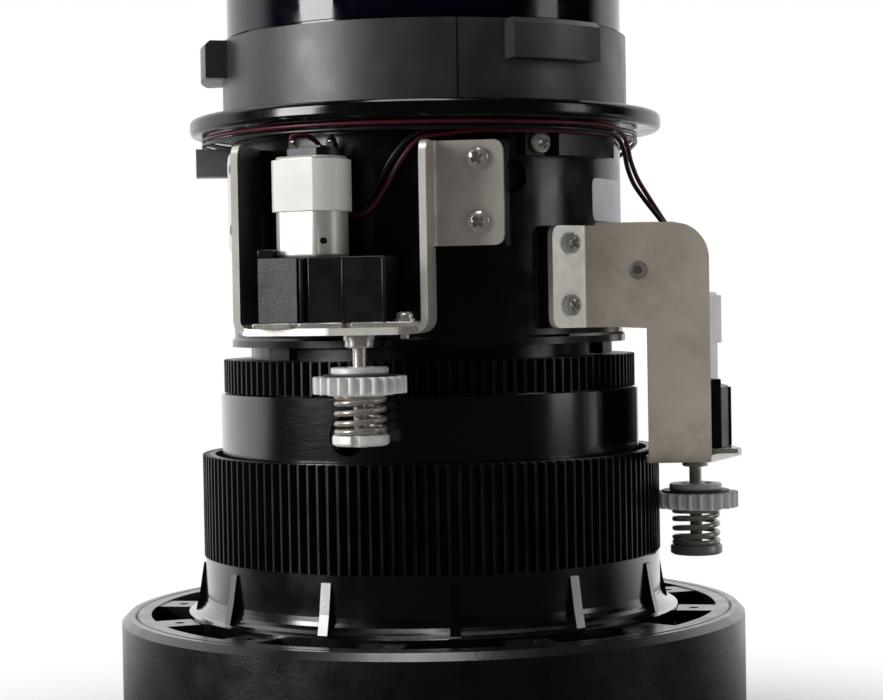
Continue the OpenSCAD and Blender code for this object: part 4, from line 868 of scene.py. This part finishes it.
def motor(drive):
    low = drive.floor_z + SHEET + PLATE_T + GEARBOX_H
    straight = drive.frame @ moved(MOTOR_U, -drive.gearbox_d - MOTOR_OUT, low)
    turned = straight @ Matrix.Rotation(MOTOR_TURN * DEG, 4, "Z")
    can = Shape(turned).prism(can_outline(CAN_R, CAN_FLAT_W), 0, CAN_H)
    can.piece(drive.name + "_motor_can", "motor_can", "root", "motor_can",
              [drive.name + "_motor"], 0.8, segments=4)

    band = Shape(turned).prism(can_outline(BAND_R, BAND_FLAT_W), BAND_LOW, BAND_HIGH)
    bore = Shape(turned).prism(can_outline(BORE_R, BORE_FLAT_W), BORE_LOW, BORE_HIGH)
    band.combine(bore, "DIFFERENCE")
    band.piece(drive.name + "_motor_band", "band_white", "root", "band_white", (), 0.12)

    top = CAN_H + CAP_H
    cap = Shape(straight @ moved(*CAP_SHIFT) @ Matrix.Rotation(MOTOR_TURN * DEG, 4, "Z"))
    cap.prism(can_outline(CAP_R, CAP_FLAT_W), CAN_H - SUNK, top)
    block_x, block_y = CAP_BLOCK
    cap.box((-block_x, -block_y, top - SEAM), (block_x, block_y, top + CAP_BLOCK_H))
    dimple = straight @ moved(0, 0, DIMPLE_LIFT) @ Matrix.Rotation(DIMPLE_TURN * DEG, 4, "Z")
    dimple = dimple @ moved(0, -DIMPLE_OUT, 0) @ OUTWARDS
    cap.lathe(DIMPLE, 24, cap.place.inverted() @ dimple)
    cap.piece(drive.name + "_motor_cap", "moulded_black", "root", "moulded_black", (), 0.3)

    tags = Shape(straight)
    for u in (-TAG_U, TAG_U):
        tags.box((u - TAG_HALF_W, -TAG_HALF_T, CAN_H - SUNK),
                 (u + TAG_HALF_W, TAG_HALF_T, CAN_H + TAG_H))
        tags.lathe(SOLDER, 16, moved(u, 0, CAN_H))
    tags.piece(drive.name + "_motor_tags", "terminal_tin", "root", "terminal_tin", ())


def make_gearmotors():
    for drive in DRIVES:
        gearbox(drive)
        motor(drive)
    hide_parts("motor_bands")
    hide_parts("motor_caps")
    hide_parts("motor_terminals")
    bushings = Shape()
    for drive in DRIVES:
        bushings.lathe(BUSHING, 48, drive.axis @ moved(0, 0, drive.floor_z))
    bushings.piece("output_bushing_set", "drive_steel", "root", "drive_steel",
                   ["output_bushings"])


make_gearmotors()


# Clutch drives: shaft, collar, washer, pinion, spring and end disc

SHAFT_R = 1.5
SHAFT_BORE_R = 1.6
SHAFT_SUNK = 0.3
SHAFT_RISE = 9.8
SHAFT_CHAMFER = 0.4
COLLAR_BORE_R = 1.4
COLLAR = [(COLLAR_BORE_R, 0.05), (6.1, 0.05), (6.4, 0.35), (6.4, 1.3), (6.1, 1.6), (4.2, 1.6),
          (3.9, 1.15), (2.7, 1.15), (2.5, 1.62), (COLLAR_BORE_R, 1.62)]
WASHER_SUNK = 0.42
WASHER = [(SHAFT_BORE_R, -WASHER_SUNK), (8.1, -WASHER_SUNK), (8.3, -0.2), (8.1, 0.06),
          (SHAFT_BORE_R, 0.06)]
HUB = [(SHAFT_BORE_R, -0.35), (7.4, -0.35), (7.6, 0.1), (SHAFT_BORE_R, 0.1)]
DISC = [(CORE_R, 0), (1.6, 0), (2.6, 0.25), (4.6, 0.35), (5.6, 0.35), (6.3, 0.8), (6.3, 2.3),
        (6.1, 2.75), (CORE_R, 2.75)]
DISC_NOTCH = ((-0.9, -7, -1), (0.9, -5.2, 4))
SPRING_WIRE_R = 0.66
SPRING_R = 5.25
SPRING_TURNS = 5
SPRING_STEPS = 32
SPRING_END_TURNS = 0.6
SPRING_EASE_SHARE = 0.25
PINION_TEETH = 24
MODULE = 0.8
ROOT_SHARE = 1.2


def tooth_outline(teeth):
    """Teeth with curved flanks and rounded tips, six points to a flank."""
    pitch_r = MODULE * teeth / 2
    root_r, tip_r = pitch_r - ROOT_SHARE * MODULE, pitch_r + MODULE
    flanks = ((root_r, 0.62), (pitch_r - 0.4, 0.52), (pitch_r, 0.46), (pitch_r + 0.45, 0.36),
              (tip_r - 0.1, 0.25), (tip_r, 0.14))
    half = FULL / teeth / 2
    points = []
    for i in range(teeth):
        middle = i * FULL / teeth
        points += [(r * math.cos(middle - s * half), r * math.sin(middle - s * half))
                   for r, s in flanks]
        points += [(r * math.cos(middle + s * half), r * math.sin(middle + s * half))
                   for r, s in reversed(flanks)]
    return points


def spring(drive):
    """A coil whose two ends climb no further, as ground ends do."""
    low, high = drive.spring_z + SPRING_WIRE_R, drive.pinion_z - SPRING_WIRE_R
    steps = SPRING_TURNS * SPRING_STEPS
    ends = SPRING_END_TURNS / SPRING_TURNS
    points = []
    for i in range(steps + 1):
        t = i / steps
        climb = min(1, max(0, (t - ends) / (1 - 2 * ends)))
        eased = climb * climb * (3 - 2 * climb)
        climb = eased * SPRING_EASE_SHARE + climb * (1 - SPRING_EASE_SHARE)
        turn = FULL * SPRING_TURNS * t
        points.append((SPRING_R * math.cos(turn), SPRING_R * math.sin(turn),
                       low + (high - low) * climb))
    return Shape(drive.axis).tube(points, SPRING_WIRE_R, 10)


def clutch_drive(drive, disc_look):
    body = drive.body
    top = drive.pinion_top_z
    low, high = drive.disc_z + SHAFT_SUNK, drive.floor_z + SHAFT_RISE
    shaft = [(CORE_R, low), (SHAFT_R, low), (SHAFT_R, high - SHAFT_CHAMFER),
             (SHAFT_R - SHAFT_CHAMFER, high), (CORE_R, high)]
    drive.turned(shaft, 0, 32).piece(drive.name + "_output_shaft", "drive_steel", body,
                                     "drive_steel", [drive.name + "_drive_shaft"])
    drive.turned(COLLAR, top, 56).piece(drive.name + "_clutch_collar", "disc_pale", body,
                                        "drive_steel")
    drive.turned(WASHER, top, 56).piece(drive.name + "_friction_washer", "rubber_dark", body,
                                        "moulded_black")

    gear = Shape(drive.axis).prism(tooth_outline(PINION_TEETH), drive.pinion_z,
                                   top - WASHER_SUNK)
    gear.lathe(HUB, 48, moved(0, 0, drive.pinion_z))
    gear.piece(drive.name + "_pinion_gear", "pinion_white", body, "pinion_white",
               [drive.name + "_pinion"], 0.22, angle=28)
    spring(drive).piece(drive.name + "_spring_wire", "spring_steel", body, "spring_steel",
                        [drive.name + "_clutch_spring"], angle=60)

    disc = drive.turned(DISC, drive.disc_z, 56)
    notch = Shape(drive.axis).box(*DISC_NOTCH, moved(0, 0, drive.disc_z))
    disc.combine(notch, "DIFFERENCE")
    disc.piece(drive.name + "_end_disc", disc_look, body, "pinion_white",
               [drive.name + "_clutch_disc"], 0.15)


clutch_drive(ZOOM, "disc_pale")
clutch_drive(FOCUS, "disc_grey")


# Leads: smooth wires along the routes of the frame's own leads. Each point of a route is its
# angle round the axis, its distance from it and its height.

LEAD_R = 0.55

ZOOM_RED = [(-29.4, 59.7, 155.8), (-29.4, 59.7, 157), (-28.2, 56.4, 157.4), (-27, 52.8, 155.8),
            (-26.4, 50, 152), (-25.6, 48.9, 146.6), (-23.4, 48.75, 142), (-19.4, 48.7, 139.6),
            (-15, 48.7, 140.6), (-10.6, 48.7, 145.6), (-6, 48.7, 152), (-1.2, 48.9, 156.4),
            (5, 49.8, 157.2), (12, 51, 157.8), (24, 52, 158), (38, 52.8, 158), (48, 52.8, 158),
            (58, 52.6, 158), (72, 52, 158), (86, 51.4, 157.9), (98, 51.2, 157), (106, 51, 155.9),
            (111, 50.8, 155.1), (115, 50.8, 155)]
ZOOM_BLACK = [(-21.5, 57.4, 155.8), (-21.5, 57.4, 156.8), (-22, 54, 156.4), (-22.8, 50.7, 153.6),
              (-23, 49.3, 149.4), (-22.2, 48.8, 145.4), (-19.4, 48.7, 142.6), (-15.8, 48.7, 143),
              (-12, 48.7, 147.6), (-7.6, 48.7, 153.4), (-3, 48.9, 157.2), (3, 49.7, 158.9),
              (10, 50.9, 159.4), (24, 52, 159.4), (38, 52.8, 159.4), (48, 52.8, 159.4),
              (58, 52.6, 159.4), (72, 52, 159.4), (86, 51.4, 159.3), (98, 51.2, 158.8),
              (106, 51, 157.8), (111, 50.8, 157.1), (115, 50.8, 157)]
FOCUS_RED = [(79.1, 62.9, 124.5), (79.1, 62.9, 127), (77.6, 62.2, 131), (75, 60.8, 135),
             (72, 58.8, 139), (69.4, 56.6, 143.4), (66.8, 54.6, 147.8), (64.4, 53.7, 152),
             (61.6, 53.9, 155.6), (57.4, 54.3, 158.4), (50, 54.3, 159.7), (40, 54.3, 159.8),
             (30, 54.3, 159.8), (15, 54.3, 159.8), (0, 54.3, 159.8), (-15, 54.3, 159.8),
             (-30, 54.3, 159.8), (-45, 54.3, 159.8), (-60, 54.3, 159.8), (-75, 54.3, 159.8),
             (-90, 54.3, 159.8), (-105, 54.3, 159.8), (-120, 54.3, 159.8), (-131, 53.6, 159.3),
             (-138, 51.6, 157.8), (-143, 50.8, 157)]
FOCUS_BLACK = [(71.8, 65, 124.5), (71.8, 65, 127), (71.6, 63.6, 131), (70.4, 61.4, 135),
               (68.6, 58.8, 139), (66.6, 56.2, 143), (64.6, 54.2, 146.8), (62.4, 53.5, 150.6),
               (59.6, 53.9, 154.2), (55.6, 54.3, 157.1), (50, 54.3, 158.3), (40, 54.3, 158.5),
               (30, 54.3, 158.5), (15, 54.3, 158.5), (0, 54.3, 158.5), (-15, 54.3, 158.5),
               (-30, 54.3, 158.5), (-45, 54.3, 158.5), (-60, 54.3, 158.5), (-75, 54.3, 158.5),
               (-90, 54.3, 158.5), (-105, 54.3, 158.5), (-120, 54.3, 158.5), (-131, 53.4, 158),
               (-138, 51.4, 155.6), (-143, 50.8, 154.5)]


LEADS = (
    ("zoom_lead_red", ZOOM_RED, "lead_red"),
    ("zoom_lead_black", ZOOM_BLACK, "lead_black"),
    ("focus_lead_red", FOCUS_RED, "lead_red"),
    ("focus_lead_black", FOCUS_BLACK, "lead_black"),
)


def round_the_axis(route):
    return [Vector((d * math.sin(a * DEG), -d * math.cos(a * DEG), z)) for a, d, z in route]


def smooth_route(points, steps=6):
    """A curve through the points, with even tangents."""
    out = []
    count = len(points)
    for i in range(count - 1):
        p0 = points[max(i - 1, 0)]
        p1, p2 = points[i], points[i + 1]
        p3 = points[min(i + 2, count - 1)]
        for k in range(steps):
            t = k / steps
            out.append(0.5 * (2 * p1 + (p2 - p0) * t + (2 * p0 - 5 * p1 + 4 * p2 - p3) * t * t
                              + (3 * p1 - p0 - 3 * p2 + p3) * t ** 3))
    out.append(points[-1])
    return out


def make_leads():
    for name, route, look in LEADS:
        wire = Shape().tube(smooth_route(round_the_axis(route)), LEAD_R, 12)
        wire.piece(name + "_wire", look, "root", look, [name], angle=60)


make_leads()


# Rounded edges on the frame's own solids, with each one's width

SOFT_ANGLE = 35
SOFT_EDGES = {
    "hood": 0.5,
    "ribbed_cone": 0.3,
    "mounting_flange": 0.25,
    "bayonet_band": 0.25,
    "main_barrel": 0.2,
    "lead_clamp": 0.3,
    "locating_lug": 0.25,
    "helicoid_sleeve": 0.2,
    "neck_stops": 0.25,
    "focus_gear_ring": 0.09,
    "zoom_gear_ring": 0.09,
    "rear_barrel": 0.3,
    "hood_screws": 0.2,
    "bracket_pads": 0.2,
    "lead_connector": 0.25,
}


def soften(name, width_mm):
    bevel = frame["nodes"][name].modifiers.new("soft_edges", "BEVEL")
    bevel.width = width_mm * MM
    bevel.segments = 2
    bevel.limit_method = "ANGLE"
    bevel.angle_limit = SOFT_ANGLE * DEG


for node, width in SOFT_EDGES.items():
    soften(node, width)


# Stage: a pale floor, a pale world and soft lamps

WHITE = (1, 1, 1, 1)
TENT_SIDE = 0.15
FLOOR_HALF = 3.0
SHADOW_END = 0.1
WHITE_START = 0.24


def math_node(tree, operation, a, b=None):
    node = tree.nodes.new("ShaderNodeMath")
    node.operation = operation
    for socket, value in zip(node.inputs, (a, b)):
        if value is None:
            continue
        if isinstance(value, (int, float)):
            socket.default_value = value
        else:
            tree.links.new(value, socket)
    return node.outputs[0]


def seen_rays(tree):
    """One where a ray comes from the camera or off gloss or glass."""
    rays = tree.nodes.new("ShaderNodeLightPath")
    shiny = math_node(tree, "MAXIMUM", rays.outputs["Is Glossy Ray"],
                      rays.outputs["Is Transmission Ray"])
    return rays.outputs["Is Camera Ray"], shiny


def smooth_ramp(tree, source, low, high, low_value, high_value):
    ramp = tree.nodes.new("ShaderNodeMapRange")
    ramp.interpolation_type = "SMOOTHSTEP"
    for name, value in (("From Min", low), ("From Max", high), ("To Min", low_value),
                        ("To Max", high_value)):
        ramp.inputs[name].default_value = value
    tree.links.new(source, ramp.inputs["Value"])
    return ramp.outputs["Result"]


def make_world():
    """White behind the lens and dark before it, as in a white tent lit from its sides."""
    world = bpy.data.worlds.new("world")
    bpy.context.scene.world = world
    world.use_nodes = True
    tree = world.node_tree
    tree.nodes.clear()
    out = tree.nodes.new("ShaderNodeOutputWorld")
    back = tree.nodes.new("ShaderNodeBackground")
    place = tree.nodes.new("ShaderNodeTexCoord")
    split = tree.nodes.new("ShaderNodeSeparateXYZ")
    tree.links.new(place.outputs["Generated"], split.inputs["Vector"])
    side = math_node(tree, "MULTIPLY", split.outputs["X"], TENT_SIDE)
    behind = math_node(tree, "SUBTRACT", split.outputs["Y"], side)
    tent = smooth_ramp(tree, behind, low=0.2, high=0.5, low_value=0.004, high_value=1.0)
    soft = smooth_ramp(tree, behind, low=-0.6, high=0.6, low_value=0.16, high_value=0.75)
    camera, shiny = seen_rays(tree)
    lit = math_node(tree, "ADD", math_node(tree, "MULTIPLY", tent, shiny), math_node(
        tree, "MULTIPLY", soft, math_node(tree, "SUBTRACT", 1.0, shiny)))
    strength = math_node(tree, "MAXIMUM", lit, camera)
    back.inputs["Color"].default_value = WHITE
    tree.links.new(strength, back.inputs["Strength"])
    tree.links.new(back.outputs["Background"], out.inputs["Surface"])


def make_floor():
    """Pale, with its shadow near the lens, and white further off."""
    mesh = bpy.data.meshes.new("floor")
    half = FLOOR_HALF
    mesh.from_pydata([(-half, -half, 0), (half, -half, 0), (half, half, 0), (-half, half, 0)], [],
                     [(0, 1, 2, 3)])
    floor = bpy.data.objects.new("floor", mesh)
    bpy.context.scene.collection.objects.link(floor)
    pale = Surface("floor_pale", (0.82, 0.82, 0.82), 0.7)
    pale.vary_color(pale.noise(3, 3), (0.86, 0.86, 0.86))
    tree = pale.tree
    length = tree.nodes.new("ShaderNodeVectorMath")
    length.operation = "LENGTH"
    tree.links.new(pale.place, length.inputs[0])
    far = smooth_ramp(tree, length.outputs["Value"], SHADOW_END, WHITE_START, 0, 1)
    camera, shiny = seen_rays(tree)
    white = tree.nodes.new("ShaderNodeEmission")
    white.inputs["Color"].default_value = WHITE
    split = tree.nodes.new("ShaderNodeSeparateXYZ")
    tree.links.new(pale.place, split.inputs[0])
    tent = smooth_ramp(tree, split.outputs["Y"], low=0.0, high=0.35, low_value=0.02,
                       high_value=0.9)
    shown = math_node(tree, "MAXIMUM", camera, math_node(tree, "MULTIPLY", tent, shiny))
    tree.links.new(shown, white.inputs["Strength"])
    share = math_node(tree, "MAXIMUM", shiny, math_node(tree, "MULTIPLY", far, camera))
    mix = tree.nodes.new("ShaderNodeMixShader")
    tree.links.new(share, mix.inputs["Fac"])
    tree.links.new(pale.shader.outputs[0], mix.inputs[1])
    tree.links.new(white.outputs[0], mix.inputs[2])
    tree.links.new(mix.outputs[0], tree.nodes["Material Output"].inputs["Surface"])
    mesh.materials.append(pale.material)


def area_lamp(name, place, target, size, power):
    data = bpy.data.lights.new(name, "AREA")
    data.shape = "RECTANGLE"
    data.size, data.size_y = size
    data.energy = power
    lamp = bpy.data.objects.new(name, data)
    lamp.location = place
    lamp.rotation_euler = (Vector(target) - Vector(place)).to_track_quat("-Z", "Y").to_euler()
    bpy.context.scene.collection.objects.link(lamp)


make_world()
make_floor()
area_lamp("left_front", place=(-1.02, -0.54, 0.42), target=(0, 0, 0.12), size=(0.45, 0.5),
          power=10)
area_lamp("right_front", place=(1.15, -0.32, 0.3), target=(0, 0, 0.12), size=(0.3, 0.5),
          power=1.0)
area_lamp("top_soft", place=(-0.1, -0.25, 1.1), target=(0, 0, 0.1), size=(0.4, 0.4), power=3)

bpy.context.scene.view_settings.view_transform = "Standard"
